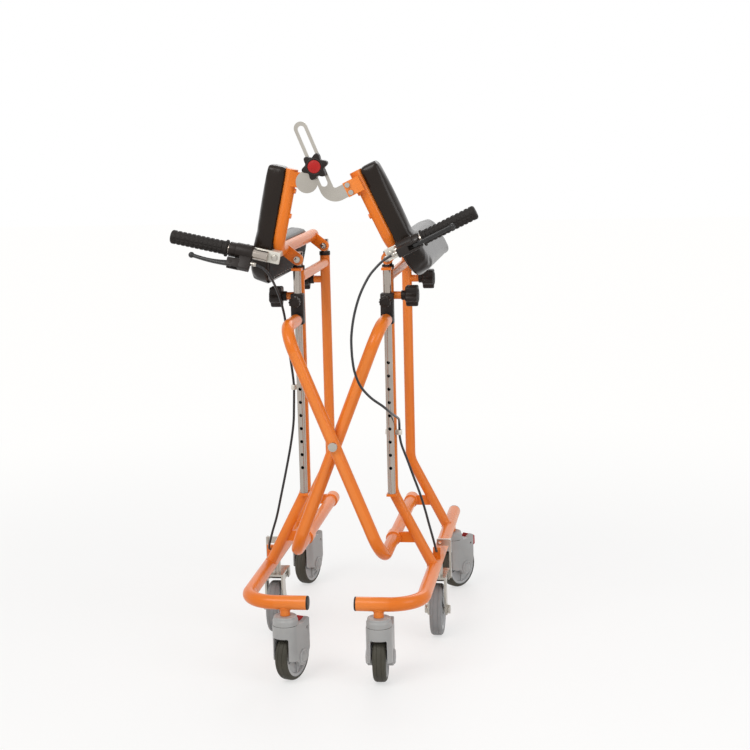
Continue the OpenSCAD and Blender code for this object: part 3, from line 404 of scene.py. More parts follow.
def join(*meshes):
    """One mesh from several."""
    result = bmesh.new()
    for mesh in meshes:
        data = bpy.data.meshes.new("part")
        mesh.to_mesh(data)
        mesh.free()
        result.from_mesh(data)
        bpy.data.meshes.remove(data)
    return result


def moved(mesh, matrix):
    mesh.transform(matrix)
    bmesh.ops.recalc_face_normals(mesh, faces=mesh.faces)
    return mesh


def hexagon(across):
    r = across / math.sqrt(3)
    return [(r * math.cos(math.radians(60 * k)), r * math.sin(math.radians(60 * k))) for k in range(6)]


def hex_bolt(across, height):
    """Hexagon head on a washer, seated at Z = 0."""
    washer = lathe(rounded(across * 0.72, 0, 1.2, 0.4))
    head = moved(prism(hexagon(across), height, 0.6), shifted(0, 0, 1.2))
    return join(washer, head)


def dome_bolt(radius, height):
    """Round head, seated at Z = 0."""
    points = [(0, -0.5), (radius, -0.5), (radius, 0)]
    for k in range(1, 6):
        a = math.pi / 2 * k / 6
        points.append((radius * math.cos(a), height * math.sin(a)))
    return lathe(points + [(0, height)], 28)


def smooth_route(points, steps):
    """Catmull-Rom curve through the points."""
    p = [Vector(q) for q in points]
    result = []
    for i in range(len(p) - 1):
        a, b, c, d = p[max(i - 1, 0)], p[i], p[i + 1], p[min(i + 2, len(p) - 1)]
        for k in range(steps):
            f = k / steps
            square = (2 * a - 5 * b + 4 * c - d) * f * f
            cube = (3 * b - a - 3 * c + d) * f * f * f
            result.append(0.5 * (2 * b + (c - a) * f + square + cube))
    return result + [p[-1]]


def skin(mesh, rings):
    """Faces between rings of vertices, with both ends closed."""
    sides = len(rings[0])
    for low, high in zip(rings, rings[1:]):
        for k in range(sides):
            mesh.faces.new((low[k], low[(k + 1) % sides], high[(k + 1) % sides], high[k]))
    mesh.faces.new(rings[0][::-1])
    mesh.faces.new(rings[-1])


def tube(points, radius, sides):
    """Closed tube along points, with frames carried from ring to ring."""
    mesh = bmesh.new()
    rings = []
    side = None
    for i, point in enumerate(points):
        ahead = (points[min(i + 1, len(points) - 1)] - points[max(i - 1, 0)]).normalized()
        if side is None:
            side = ahead.orthogonal().normalized()
        side = (side - ahead * side.dot(ahead)).normalized()
        other = ahead.cross(side)
        rings.append([
            mesh.verts.new(point + radius * (side * math.cos(a) + other * math.sin(a)))
            for a in (math.tau * k / sides for k in range(sides))])
    skin(mesh, rings)
    return mesh


def both_ends(make, out):
    """Two copies of a mesh drawn up Z, seated back to back on X at that distance."""
    return join(*[
        moved(make(), Matrix.Diagonal((flip, 1, 1, 1)) @ shifted(out, 0, 0) @ ALONG_X) for flip in (1, -1)])


# Brake cables

CABLE_D = 5
UPPER_ROUTE = {
    "right": [
        (119, 108, 829.5), (104, 105, 821), (88, 100, 806), (74, 95, 788), (58, 87, 755), (47, 79, 716),
        (42, 71, 676), (43, 66, 640), (47, 66, 610), (57, 72, 580), (76, 77, 556), (98, 84, 538),
        (109, 112, 520), (113, 160, 503), (113, 208, 488), (110, 240, 474), (109, 249, 458)],
    "left": [
        (-151, 118, 813), (-138, 121, 806), (-128, 134, 790), (-121, 160, 762), (-117, 186, 731),
        (-114, 203, 696), (-112, 214, 650), (-110, 226, 610), (-109, 240, 575), (-109, 249, 552)]}
LOWER_ROUTE = {
    "right": [
        (109, 249, 458), (109, 249, 446), (113, 248, 425), (124, 247, 395), (136, 247, 360),
        (148, 249, 325), (158, 251, 290), (166, 254, 256), (173, 258, 226), (177, 264, 205),
        (178, 272, 194), (178, 283, 190)],
    "left": [
        (-109, 249, 552), (-109, 249, 540), (-110, 247, 505), (-112, 246, 470), (-119, 245, 425),
        (-131, 247, 370), (-144, 249, 315), (-155, 251, 270), (-166, 254, 236), (-174, 260, 210),
        (-178, 270, 195), (-178, 283, 190)]}
UPPER_SPLIT = {"right": 7, "left": 4}


def cable_piece(name, points, body=None):
    """Cable sheath through the points; without a body it still has to be blended between two."""
    route = [mm(*point) for point in points]
    fine = smooth_route(route, 8)
    piece = finish_piece(name, tube(fine, CABLE_D / 2 * MM, 16), Matrix(), "cable_black", body)
    return piece, fine


def make_cables():
    for side in SIDES:
        upper = UPPER_ROUTE[side]
        split = UPPER_SPLIT[side]
        top, top_path = cable_piece(side + "_cable_top", upper[:split + 1])
        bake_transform(top)
        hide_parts(side + "_cable_upper")
        mid, mid_path = cable_piece(side + "_cable_middle", upper[split:])
        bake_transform(mid)
        low, _ = cable_piece(side + "_cable_low", LOWER_ROUTE[side], side + "_frame")
        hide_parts(side + "_cable_lower")


make_cables()


# Forearm pads

PAD_INNER = 186
PAD_OUTER = 60
PAD_CROSS = 50
PAD_SIDE = 92
PAD_LONG = 425
PAD_FRONT = 159.1
PAD_BOTTOM = 41.5
PAD_T = 38
PAD_CORNER = 12
PAD_FRONT_R = 70
PAD_REAR_R = 58
PAD_NOTCH_R = 10
PAD_EDGE = 5
SWELL = 4
SWELL_ROOM = SWELL * 0.3
LINING_INSET = 10
LINING_T = 2
STAPLE_INSET = 14
STAPLE_PITCH = 24
STAPLE = (9, 1.1, 1)


def corner_arc(center, radius, start, end, steps=6):
    """Points of an arc, with angles in degrees."""
    turns = [math.radians(start + (end - start) * k / steps) for k in range(steps + 1)]
    return [(center[0] + radius * math.cos(a), center[1] + radius * math.sin(a)) for a in turns]


def pad_outline(inset):
    """L-shaped outline of the pad, seen from above, with the inner end towards -X."""
    left, right = -PAD_INNER + inset, PAD_OUTER - inset
    front, back = PAD_FRONT + inset, PAD_FRONT + PAD_LONG - inset
    step_x, step_y = PAD_OUTER - PAD_SIDE + inset, PAD_FRONT + PAD_CROSS - inset
    r = max(PAD_CORNER - inset, 4)
    front_r, rear_r = PAD_FRONT_R - inset, PAD_REAR_R - inset
    return (
        corner_arc((left + r, front + r), r, 180, 270)
        + corner_arc((right - front_r, front + front_r), front_r, 270, 360, 16)
        + corner_arc((right - r, back - r), r, 0, 90)
        + corner_arc((step_x + rear_r, back - rear_r), rear_r, 90, 180, 14)
        + corner_arc((step_x - PAD_NOTCH_R, step_y + PAD_NOTCH_R), PAD_NOTCH_R, 0, -90)
        + corner_arc((left + r, step_y - r), r, 90, 180))


def replace_mesh(piece, data):
    old = piece.data
    data.materials.clear()
    data.materials.append(old.materials[0])
    piece.data = data
    bpy.data.meshes.remove(old)


def evaluated(piece):
    return piece.evaluated_get(bpy.context.evaluated_depsgraph_get())


def baked(piece):
    """Applies a piece's modifiers to its mesh."""
    data = bpy.data.meshes.new_from_object(evaluated(piece))
    piece.modifiers.clear()
    replace_mesh(piece, data)


def inflate(piece, normal, floor, cap):
    """Swells a cushion with cloth pressure by up to cap. Points low above floor, along normal, stay put."""
    base_height = 0.006
    last_step = 20
    remesh = piece.modifiers.new("remesh", "REMESH")
    remesh.mode = "VOXEL"
    remesh.voxel_size = 0.005
    baked(piece)
    rest = [v.co.copy() for v in piece.data.vertices]
    group = piece.vertex_groups.new(name="base")
    held = [i for i, co in enumerate(rest) if (co - floor).dot(normal) < base_height]
    group.add(held, 1.0, "REPLACE")
    cloth = piece.modifiers.new("cloth", "CLOTH")
    cloth.settings.use_pressure = True
    cloth.settings.uniform_pressure_force = 4
    cloth.settings.effector_weights.gravity = 0
    cloth.settings.vertex_group_mass = group.name
    for step in range(1, last_step + 1):
        scene.frame_set(step)
    moved_points = [v.co.copy() for v in evaluated(piece).data.vertices]
    piece.modifiers.clear()
    piece.vertex_groups.clear()
    scene.frame_set(1)
    for vertex, start, end in zip(piece.data.vertices, rest, moved_points):
        shift = end - start
        if shift.length > cap:
            shift *= cap / shift.length
        vertex.co = start + shift


def soften(piece):
    """Evens out a mesh, divides it once and shades it smooth."""
    smooth = piece.modifiers.new("smooth", "SMOOTH")
    smooth.iterations = 4
    divide = piece.modifiers.new("divide", "SUBSURF")
    divide.levels = 1
    divide.render_levels = 1
    baked(piece)
    for polygon in piece.data.polygons:
        polygon.use_smooth = True


def make_pad(side):
    body = side + "_armrest"
    place = ARM[side]
    outline = pad_outline(SWELL_ROOM)
    shape = moved(prism(outline, PAD_T, PAD_EDGE, 4), shifted(0, 0, PAD_BOTTOM))
    cushion = finish_piece(side + "_cushion", shape, place, "pad_vinyl", None)
    normal = rest_axis(side).normalized()
    inflate(cushion, normal, place @ Vector((0, PAD_FRONT, PAD_BOTTOM)), SWELL * MM)
    soften(cushion)
    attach(cushion, body)
    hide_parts(side + "_pad")
    lining = prism(pad_outline(LINING_INSET), LINING_T, 0.4)
    lining = moved(lining, shifted(0, 0, PAD_BOTTOM - 0.8))
    finish_piece(side + "_pad_lining", lining, place, "black_plastic", body, UNDERSIDE)
    staples = []
    border = pad_outline(STAPLE_INSET)
    for start, end in zip(border, border[1:] + border[:1]):
        along = Vector((end[0] - start[0], end[1] - start[1]))
        turn = turned(math.degrees(math.atan2(along.y, along.x)), "Z")
        for k in range(int(along.length // STAPLE_PITCH)):
            spot = Vector(start) + along.normalized() * (STAPLE_PITCH * (k + 0.5))
            staple = block(STAPLE, 0.3)
            staples.append(moved(staple, shifted(spot.x, spot.y, PAD_BOTTOM - 1.3) @ turn))
    finish_piece(side + "_pad_staples", join(*staples), place, "zinc_steel", body)


for side in SIDES:
    make_pad(side)


# Handles, brake clamps and levers

BAR_X = -8
BAR_Y = 130
BAR_R = 10
CLAMP_UP = {"right": 46, "left": 70}
LEVER_TURN = {"right": 8, "left": 58}
GRIP_GAP = 52
GRIP_LENGTH = 116
GRIP_R = 14
LEVER_OUT = 30
LEVER_PIVOT_UP = 38
LEVER_LENGTH = 80
LEVER_T = 7.6
PLATE_FRONT = 138
PLATE_T = 8
BARREL_PROFILE = [
    (0, 0), (4.2, 0), (4.5, -1), (4.5, -5), (3.9, -5.6), (4.3, -6.2), (4.3, -9), (3.4, -12), (0, -12)]
FACING_FRONT = turned(90, "X")


def upright_plate(outline, front, depth, bevel=1.2):
    """Plate across Y, from an outline in X and Z, with its front face at that Y."""
    return moved(prism(outline, depth, bevel), shifted(0, front + depth, 0) @ FACING_FRONT)


def raised(position, pitch, share):
    """0 in a groove and 1 on a raised pad, with soft flanks."""
    f = (position / pitch) % 1
    edge = min(f, share - f) / 0.12
    return max(0.0, min(1.0, edge))


def grip_mesh():
    """Soft grip with rows of raised pads, a flange at its foot and a round end."""
    around, along = 72, 150
    foot, head = 10, 8
    pad_pitch, pads_around, pad_rise = 9.5, 9, 1.2
    flange_h, flange_out = 4, 3.2
    end_h, end_in = 4, 3.0
    mesh = bmesh.new()
    rings = []
    for i in range(along + 1):
        h = GRIP_LENGTH * i / along
        ring = []
        for k in range(around):
            a = math.tau * k / around
            r = GRIP_R - 1.3
            if foot < h < GRIP_LENGTH - head:
                r += pad_rise * raised(h - foot, pad_pitch, 0.78) * raised(k / around, 1 / pads_around, 0.8)
            else:
                r += 1.1
            if h < flange_h:
                r = GRIP_R + flange_out - 0.4 * abs(h - flange_h / 2)
            r -= end_in * max(0.0, (h - GRIP_LENGTH + end_h) / end_h) ** 2
            ring.append(mesh.verts.new((r * math.cos(a), r * math.sin(a), h)))
        rings.append(ring)
    skin(mesh, rings)
    return mesh


def lever_mesh():
    """Brake lever: a round pivot, a slightly bowed blade and a ball end, drawn up Z from its pivot."""
    steps = 18
    bow, root_half, taper = 3.0, 5.6, 2.4
    outer, inner = [], []
    for k in range(steps + 1):
        f = k / steps
        z = LEVER_LENGTH * f
        middle = -bow * math.sin(math.pi * f)
        half = root_half - taper * math.sin(math.pi * min(1, f * 1.3) / 2)
        outer.append((middle - half, z))
        inner.append((middle + half, z))
    sideways = shifted(-LEVER_T / 2, 0, 0) @ turned(90, "Z") @ turned(90, "X")
    blade = moved(prism(outer + inner[::-1], LEVER_T, 1.6, 3), sideways)
    hub = moved(lathe(rounded(6.2, -3.9, 3.9, 1)), ALONG_X)
    ball_r = 6
    arc = [math.pi * k / 12 for k in range(13)]
    ball = lathe([(ball_r * math.sin(a), -ball_r * math.cos(a)) for a in arc], 24)
    return join(blade, hub, moved(ball, shifted(0, 0, LEVER_LENGTH)))


def clamp_mesh():
    """Black clamp round the bar, with a yoke for the lever."""
    band_h = 34
    band = lathe(rounded(16, 0, band_h, 1.6))
    neck = lathe(rounded(14.6, band_h - 1, GRIP_GAP - 4, 1.4))
    collar = join(band, neck)
    yoke_y = -LEVER_OUT - 8
    root = moved(block((18, 30, 24), 2.2), shifted(-9, yoke_y, 0))
    cheek = (5, 18, LEVER_PIVOT_UP - 12)
    cheeks = [moved(block(cheek, 1.6), shifted(x, yoke_y, 20)) for x in (-9.4, 4.4)]
    pin = lathe(rounded(3.4, -10.2, 10.2, 0.6), 20)
    pin = moved(pin, shifted(0, -LEVER_OUT, LEVER_PIVOT_UP) @ ALONG_X)
    screw = moved(dome_bolt(4, 2.4), shifted(0, 15.6, 14) @ ALONG_Y)
    return join(collar, root, *cheeks, pin, screw)


def make_handle(side):
    body = side + "_armrest"
    place = ARM[side]
    up = CLAMP_UP[side]
    on_bar = place @ shifted(BAR_X, BAR_Y, up)
    lever_frame = on_bar @ turned(LEVER_TURN[side], "Z")
    bar = moved(lathe(rounded(BAR_R, 40, up + GRIP_GAP + 10, 1)), shifted(BAR_X, BAR_Y, 0))
    finish_piece(side + "_bar", bar, place, "rail_chrome", body)
    left, right, low, high = BAR_X - 12, BAR_X + 12, 18, 80
    plate = upright_plate([(right, low), (right, high), (left, high), (left, low)], PLATE_FRONT, PLATE_T)
    spacer = moved(block((12, 55, 18), 1.2), shifted(left, PLATE_FRONT + PLATE_T - 1, low + 4))
    bracket = finish_piece(side + "_bar_bracket", join(plate, spacer), place, "bar_alloy", body)
    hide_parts(side + "_handle_bar")
    screws = join(
        moved(dome_bolt(5, 3), shifted(BAR_X, PLATE_FRONT, 56) @ FACING_FRONT),
        moved(hex_bolt(10, 4), shifted(BAR_X, PLATE_FRONT, 28) @ FACING_FRONT))
    finish_piece(side + "_bracket_screws", screws, place, "zinc_steel", body)
    finish_piece(side + "_brake_clamp", clamp_mesh(), lever_frame, "black_plastic", body)
    barrel = moved(lathe(BARREL_PROFILE, 20), shifted(0, -22, 0))
    finish_piece(side + "_cable_barrel", barrel, lever_frame, "zinc_steel", body)
    grip = finish_piece(
        side + "_soft_grip", moved(grip_mesh(), shifted(0, 0, GRIP_GAP)), on_bar, "grip_rubber", body)
    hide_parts(side + "_grip")
    lever = moved(lever_mesh(), shifted(0, -LEVER_OUT, LEVER_PIVOT_UP))
    lever = finish_piece(side + "_lever", lever, lever_frame, "lever_black", side + "_brake_lever")
    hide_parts(side + "_brake_lever")


for side in SIDES:
    make_handle(side)


# Knobs

def lobed(radius, count, depth, steps=12):
    """Outline of a knob with round lobes."""
    points = []
    for k in range(count * steps):
        a = math.tau * k / (count * steps)
        r = radius - depth + depth * math.cos(count * a)
        points.append((r * math.cos(a), r * math.sin(a)))
    return points


def knob_mesh(radius, thickness, count, depth):
    """Lobed knob up Z, with a raised ring on its face."""
    body = prism(lobed(radius, count, depth), thickness, 3, 3)
    ring = [(0.62, -1), (0.62, 0.8), (0.56, 1.2), (0.5, 0.2), (0, 0.2)]
    rim = lathe([(radius * share, z) for share, z in ring], 36)
    return join(body, moved(rim, shifted(0, 0, thickness)))


def make_clamp_knobs():
    hub_start = UPRIGHT_R + BOSS_LENGTH + CLEARANCE
    for side in SIDES:
        for end, y in zip(("front", "rear"), UPRIGHTS):
            node = f"{side}_{end}_knob"
            hub = lathe(rounded(10, hub_start, hub_start + 11, 1))
            screw = lathe(rounded(3.9, 9.6, hub_start + 2, 0.4), 20)
            knob = moved(knob_mesh(23, 25, 5, 3.2), shifted(0, 0, hub_start + 9))
            place = side_at(side, PIVOT_X, y, CLAMP_Z, ALONG_X)
            piece = finish_piece(node + "_black", join(hub, screw, knob), place, "black_plastic", node)
            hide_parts(node)


def make_star_knob():
    reach, below, seat_y = 200, 5, 154
    across = -reach * math.cos(math.radians(below))
    down = -reach * math.sin(math.radians(below))
    place = ARM["left"] @ shifted(across, seat_y, down) @ FACING_FRONT
    neck = lathe(rounded(10, 0.5, 5, 0.5))
    star = moved(knob_mesh(26.5, 19, 6, 4.2), shifted(0, 0, 3.5))
    piece = finish_piece("star_knob_black", join(neck, star), place, "black_plastic", "star_knob")
    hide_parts("star_knob")
    cap = lathe([(0, 21.5), (12.6, 21.5), (12.8, 23.4), (11.6, 24.8), (7, 25.7), (0, 26)], 40)
    finish_piece("star_knob_cap", cap, place, "pedal_red", "star_knob")
    pin = lathe(rounded(4, -12.5, 2, 0.6), 24)
    finish_piece("star_knob_pin", pin, place, "zinc_steel", "star_knob")


make_clamp_knobs()
make_star_knob()


# Sliders and their pull knobs

def make_slider(side):
    body = side + "_slider"
    pull_up = 38
    front, inside = 220, 221
    z = joint_place(side + "_slider_pivot").z / MM
    place = side_at(side, PIVOT_X, 0, z)
    core = moved(block((26, 23, 63), 2.4), shifted(-13, front, -11))
    boss = moved(lathe(rounded(12, 206, inside, 1.4)), ALONG_Y)
    neck = moved(lathe(rounded(9, 212, inside, 1.2)), shifted(0, 0, pull_up) @ ALONG_Y)
    piece = finish_piece(side + "_slider_block", join(core, boss, neck), place, "black_plastic", body)
    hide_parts(side + "_slider")
    plunger = side + "_plunger"
    knob = moved(knob_mesh(12, 14, 12, 0.7), shifted(0, 205.3, pull_up) @ FACING_FRONT)
    shaft = moved(lathe(rounded(3, 204, 225.6, 0.5), 20), shifted(0, 0, pull_up) @ ALONG_Y)
    piece = finish_piece(side + "_pull_knob", join(knob, shaft), place, "black_plastic", plunger)
    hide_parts(plunger)


for side in SIDES:
    make_slider(side)


# Casters

CASTERS = [(end, side) for end in ("front", "rear") for side in SIDES]
TRAIL = 22
WHEEL_R = 50
WHEEL_W = 27
WHEEL_HUB_R = 42
HOUSING_W = 52
CASTER_TOP = 137
CROWN_TOP = 118
PEDAL_Y = 40
PEDAL_Z = 104
PEDAL_W = 30
PEDAL_OUTLINE = [
    (-6, -3), (-6, 4), (12, 6), (22, 14), (28, 10), (29, -9), (25, -12), (20, -10), (18, -5), (10, -3)]
AXLE_CAP_PROFILE = [
    (0, -1), (15, -1), (15, 1.2), (14, 2.6), (12.4, 3), (11.4, 2.2), (9.6, 2.2), (8.8, 3.2), (4, 4), (0, 4)]
SEAM_R = 25.4
SEAM_H = 1.6


def caster_matrix(end, side):
    """Matrix of a caster drawn with its swivel axis on Z and its wheel trailing towards +Y."""
    name = f"{end}_{side}_caster"
    swivel = joint_place(name + "_swivel")
    roll_axis = Vector(joints[name + "_roll"]["axis"])
    turn = math.degrees(math.atan2(roll_axis.y, roll_axis.x))
    return Matrix.Translation((swivel.x, swivel.y, 0)) @ turned(turn, "Z") @ Matrix.Scale(MM, 4)


def side_plate(outline, start, depth, bevel):
    """Plate across X, from an outline in Y and Z."""
    turn = Matrix(((0, 0, 1, 0), (1, 0, 0, 0), (0, 1, 0, 0), (0, 0, 0, 1)))
    return moved(prism(outline, depth, bevel, 3), shifted(start, 0, 0) @ turn)


def moulded_copy(name, node):
    """Copy of a CAD node's mesh with the soft edges of a moulding."""
    piece = bpy.data.objects.new(name, frame["nodes"][node].data.copy())
    scene.collection.objects.link(piece)
    remesh = piece.modifiers.new("remesh", "REMESH")
    remesh.mode = "VOXEL"
    remesh.voxel_size = 0.0014
    smooth = piece.modifiers.new("smooth", "SMOOTH")
    smooth.iterations = 4
    thin = piece.modifiers.new("thin", "DECIMATE")
    thin.ratio = 0.4
    baked(piece)
    for polygon in piece.data.polygons:
        polygon.use_smooth = True
    return piece


def tyre_mesh(radius, width, corner, hub_r):
    """Tyre ring about Z with rounded shoulders and two fine grooves in the tread."""
    half = width / 2
    points = [(hub_r, -half + 3), (hub_r + 2, -half + 1.2), (radius - corner, -half)]
    for k in range(1, 7):
        a = math.pi / 2 * k / 6
        points.append((radius - corner + corner * math.sin(a), -half + corner - corner * math.cos(a)))
    groove = half - corner - 1
    for z in (-groove, groove):
        points += [(radius, z - 0.8), (radius - 0.7, z), (radius, z + 0.8)]
    for k in range(6, 0, -1):
        a = math.pi / 2 * k / 6
        points.append((radius - corner + corner * math.sin(a), half - corner + corner * math.cos(a)))
    points += [(radius - corner, half), (hub_r + 2, half - 1.2), (hub_r, half - 3)]
    return lathe(points + points[:1], 72)


def hub_mesh(width, bore, hub_r, ribs):
    """Hub with a sunk web between a boss and a rim, with ribs across the web."""
    half = width / 2
    web = half - 5
    rim = hub_r - 6
    rib_t = 3
    side = [(bore, half - 0.4), (bore + 6, half - 0.4), (bore + 7, half - 1.4), (bore + 7.6, web),
            (rim - 1.2, web), (rim, half - 1.8), (rim + 0.8, half - 1), (hub_r + 0.3, half - 1)]
    profile = side + [(r, -z) for r, z in reversed(side)]
    disc = lathe(profile + profile[:1], 60)
    bars = []
    for k in range(ribs):
        bar = block((rim - bore - 7, rib_t, width - 5), 0.6)
        bar = moved(bar, shifted(bore + 6.5, -rib_t / 2, -half + 2.5))
        bars.append(moved(bar, turned(360 / ribs * k, "Z")))
    return join(disc, *bars)


def pedal_mesh():
    """Red lock pedal with a ribbed tread and its pin."""
    outline = [(PEDAL_Y + y, PEDAL_Z + z) for y, z in PEDAL_OUTLINE]
    body = side_plate(outline, -PEDAL_W / 2, PEDAL_W, 1.2)
    ribs = []
    for k in range(4):
        rib = moved(lathe(rounded(0.9, -12, 12, 0.4), 12), ALONG_X)
        ribs.append(moved(rib, shifted(0, PEDAL_Y + 13 + 2.5 * k, PEDAL_Z + 6.8 + 2 * k)))
    pin = moved(lathe(rounded(2.4, -22, 22, 0.4), 16), shifted(0, PEDAL_Y, PEDAL_Z) @ ALONG_X)
    return join(body, pin, *ribs)


def axle_cap():
    """Round cap on the outside of a caster's cheek, with a sunk ring."""
    return lathe(AXLE_CAP_PROFILE, 40)


def make_caster(end, side):
    name = f"{end}_{side}_caster"
    place = caster_matrix(end, side)
    housing = moulded_copy(name + "_housing", name)
    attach(housing, name)
    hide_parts(name)
    axle_place = place @ shifted(0, TRAIL, WHEEL_R)
    caps = both_ends(axle_cap, HOUSING_W / 2)
    finish_piece(name + "_axle_caps", caps, axle_place, "caster_grey", name)
    ring = [
        (24, CROWN_TOP), (SEAM_R, CROWN_TOP), (SEAM_R, CROWN_TOP + SEAM_H), (24, CROWN_TOP + SEAM_H)]
    seam = lathe(ring + ring[:1], 48)
    finish_piece(name + "_collar_seam", seam, place, "caster_tyre", name)
    stem = lathe(rounded(5.5, CASTER_TOP - 1, CASTER_TOP + 20, 0.6), 24)
    finish_piece(name + "_stem", stem, place, "zinc_steel", name)
    tyre = moved(tyre_mesh(WHEEL_R, WHEEL_W, 8, WHEEL_HUB_R), ALONG_X)
    tyre = finish_piece(name + "_tyre", tyre, axle_place, "caster_tyre", name + "_wheel")
    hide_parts(name + "_wheel")
    hub = moved(hub_mesh(WHEEL_W, 6.1, WHEEL_HUB_R, 5), ALONG_X)
    finish_piece(name + "_hub", hub, axle_place, "caster_grey", name + "_wheel", GREY_HUB)
    pedal = finish_piece(name + "_lock_pedal", pedal_mesh(), place, "pedal_red", name + "_pedal")
    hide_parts(name + "_pedal")


for caster_end, caster_side in CASTERS:
    make_caster(caster_end, caster_side)


# Braked centre wheels

def make_centre_wheel(side):
    radius, width, bore, hub_r = 55, 26, 5.05, 42
    axle_y = 310
    fork_gap, fork_t = 3, 4
    name = side + "_wheel"
    place = side_at(side, BASE_X, axle_y, radius)
    tyre = moved(tyre_mesh(radius, width, 7, hub_r), ALONG_X)
    tyre = finish_piece(name + "_tyre", tyre, place, "wheel_grey", name)
    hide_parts(name)
    hub = moved(hub_mesh(width, bore, hub_r, 6), ALONG_X)
    finish_piece(name + "_hub", hub, place, "wheel_grey", name, GREY_HUB)
    nuts = both_ends(lambda: hex_bolt(17, 6), width / 2 + fork_gap + fork_t)
    finish_piece(side + "_axle_nuts", nuts, place, "zinc_steel", side + "_frame")


for side in SIDES:
    make_centre_wheel(side)


# Frame details: welds, caps, bushes, clips and bolts

WELD_R = 1.8
CAP_PROFILE = [(0, -12), (11.6, -12), (11.8, 0), (14, 0), (14, 2.4), (13, 3.6), (9, 4), (0, 4)]
BUSH_PROFILE = [
    (9.3, 789), (11.9, 789), (12.2, 790), (12.2, 796.6), (11.4, 797.9), (9.3, 797.9), (9.3, 789)]


def ring_bead(points):
    """Weld bead along a closed line of points."""
    mesh = tube(points + points[:1], WELD_R, 8)
    mesh.normal_update()
    for vertex in mesh.verts:
        ripple = math.sin(vertex.co.x * 2.1) * math.sin(vertex.co.y * 2.3 + vertex.co.z * 1.9)
        vertex.co += vertex.normal * 0.3 * ripple
    return mesh


def turn_points(count=48):
    return [math.tau * k / count for k in range(count)]


def leg_weld(y):
    """Bead where a leg meets the base tube."""
    spread = BASE_X - PIVOT_X
    direction = Vector((-spread, 0, LEG_BEND_Z - BASE_Z)).normalized()
    across = Vector((direction.z, 0, -direction.x))
    points = []
    for a in turn_points():
        p = UPRIGHT_R * (across * math.cos(a) + Vector((0, math.sin(a), 0)))
        s = math.sqrt(BASE_R ** 2 - p.x ** 2 - p.z ** 2)
        points.append(Vector((BASE_X, y, BASE_Z)) + p + direction * s)
    return ring_bead(points)


def rail_weld(y, way):
    """Bead where the top rail meets an upright."""
    points = []
    for a in turn_points():
        x, z = TOP_RAIL_R * math.cos(a), TOP_RAIL_R * math.sin(a)
        reach = math.sqrt(UPRIGHT_R ** 2 - x ** 2)
        points.append(Vector((PIVOT_X + x, y + way * reach, TOP_RAIL_Z + z)))
    return ring_bead(points)


def stem_weld(x, y, along_x):
    """Bead where a caster stem meets the base tube."""
    points = []
    for a in turn_points():
        dx, dy = STEM_R * math.cos(a), STEM_R * math.sin(a)
        off = dy if along_x else dx
        points.append(Vector((x + dx, y + dy, BASE_Z - math.sqrt(BASE_R ** 2 - off ** 2))))
    return ring_bead(points)


def clip_mesh(start):
    """Spring clip round the front upright, open in front, with an eye for the cable."""
    height = 10
    band_t = 2
    opening, closing = -43, 223
    eye = Vector((abs(start[0]), start[1]))
    post = Vector((PIVOT_X, UPRIGHTS[0]))
    outside = corner_arc(post, UPRIGHT_R + band_t, opening, closing, 30)
    inside = corner_arc(post, UPRIGHT_R, closing, opening, 30)
    band = prism(outside + inside, height, 0.4)
    way = (post - eye).normalized()
    across = Vector((-way.y, way.x))
    near, far = eye + way * 4.4, post - way * (UPRIGHT_R + 1)
    half = across * 3
    strap = prism([near - half, far - half, far + half, near + half], height, 0.4)
    section = [
        (3.5, 0.6), (4, 0), (5.2, 0), (5.6, 0.6), (5.6, height - 0.6), (5.2, height), (4, height),
        (3.5, height - 0.6), (3.5, 0.6)]
    loop = moved(lathe(section, 28), shifted(eye.x, eye.y, 0))
    return moved(join(band, strap, loop), shifted(0, 0, start[2] - 11))


def make_frame_details(side):
    body = side + "_frame"
    place = side_at(side, 0, 0, 0)
    front_stem_x = (joint_place("front_right_caster_swivel").x - MIDDLE_X) / MM
    rear_stem_y = (joint_place("rear_right_caster_swivel").y - FRONT_Y) / MM
    welds = [leg_weld(y) for y in UPRIGHTS]
    welds += [rail_weld(UPRIGHTS[0], 1), rail_weld(UPRIGHTS[1], -1)]
    welds += [stem_weld(front_stem_x, 0, True), stem_weld(BASE_X, rear_stem_y, False)]
    finish_piece(side + "_welds", join(*welds), place, "frame_orange", body)
    caps = join(
        moved(lathe(CAP_PROFILE, 40), shifted(BASE_X - BASE_FOOT, 0, BASE_Z) @ turned(-90, "Y")),
        moved(lathe(CAP_PROFILE, 40), shifted(BASE_X, BASE_END_Y, BASE_Z) @ ALONG_Y))
    caps = finish_piece(side + "_end_caps", caps, place, "black_plastic", body)
    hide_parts(side + "_trim")
    bushes = [moved(lathe(BUSH_PROFILE, 40), shifted(PIVOT_X, y, 0)) for y in UPRIGHTS]
    finish_piece(side + "_post_bushes", join(*bushes), place, "black_plastic", body)
    finish_piece(side + "_cable_clip", clip_mesh(LOWER_ROUTE[side][0]), place, "bar_alloy", body)
    bolts = join(*[
        moved(hex_bolt(9, 3), shifted(PIVOT_X, y - 15.4, ARM_Z) @ FACING_FRONT) for y in UPRIGHTS])
    finish_piece(side + "_pivot_bolts", bolts, place, "zinc_steel", side + "_posts")


for side in SIDES:
    make_frame_details(side)


def make_brace_details():
    crossing = joint_place("brace_cross").z / MM
    place = at(0, 0, crossing)
    front, back = BRACE_PLANES
    out = BRACE_R + CLEARANCE
    bolts = join(
        moved(dome_bolt(9, 5), shifted(0, front - out, 0) @ FACING_FRONT),
        moved(hex_bolt(15, 5), shifted(0, back + out, 0) @ ALONG_Y),
        moved(lathe(rounded(10, front + out, back - out, 0.3), 28), ALONG_Y))
    finish_piece("crossing_bolts", bolts, place, "zinc_steel", "brace_front")


make_brace_details()


# Floor and light

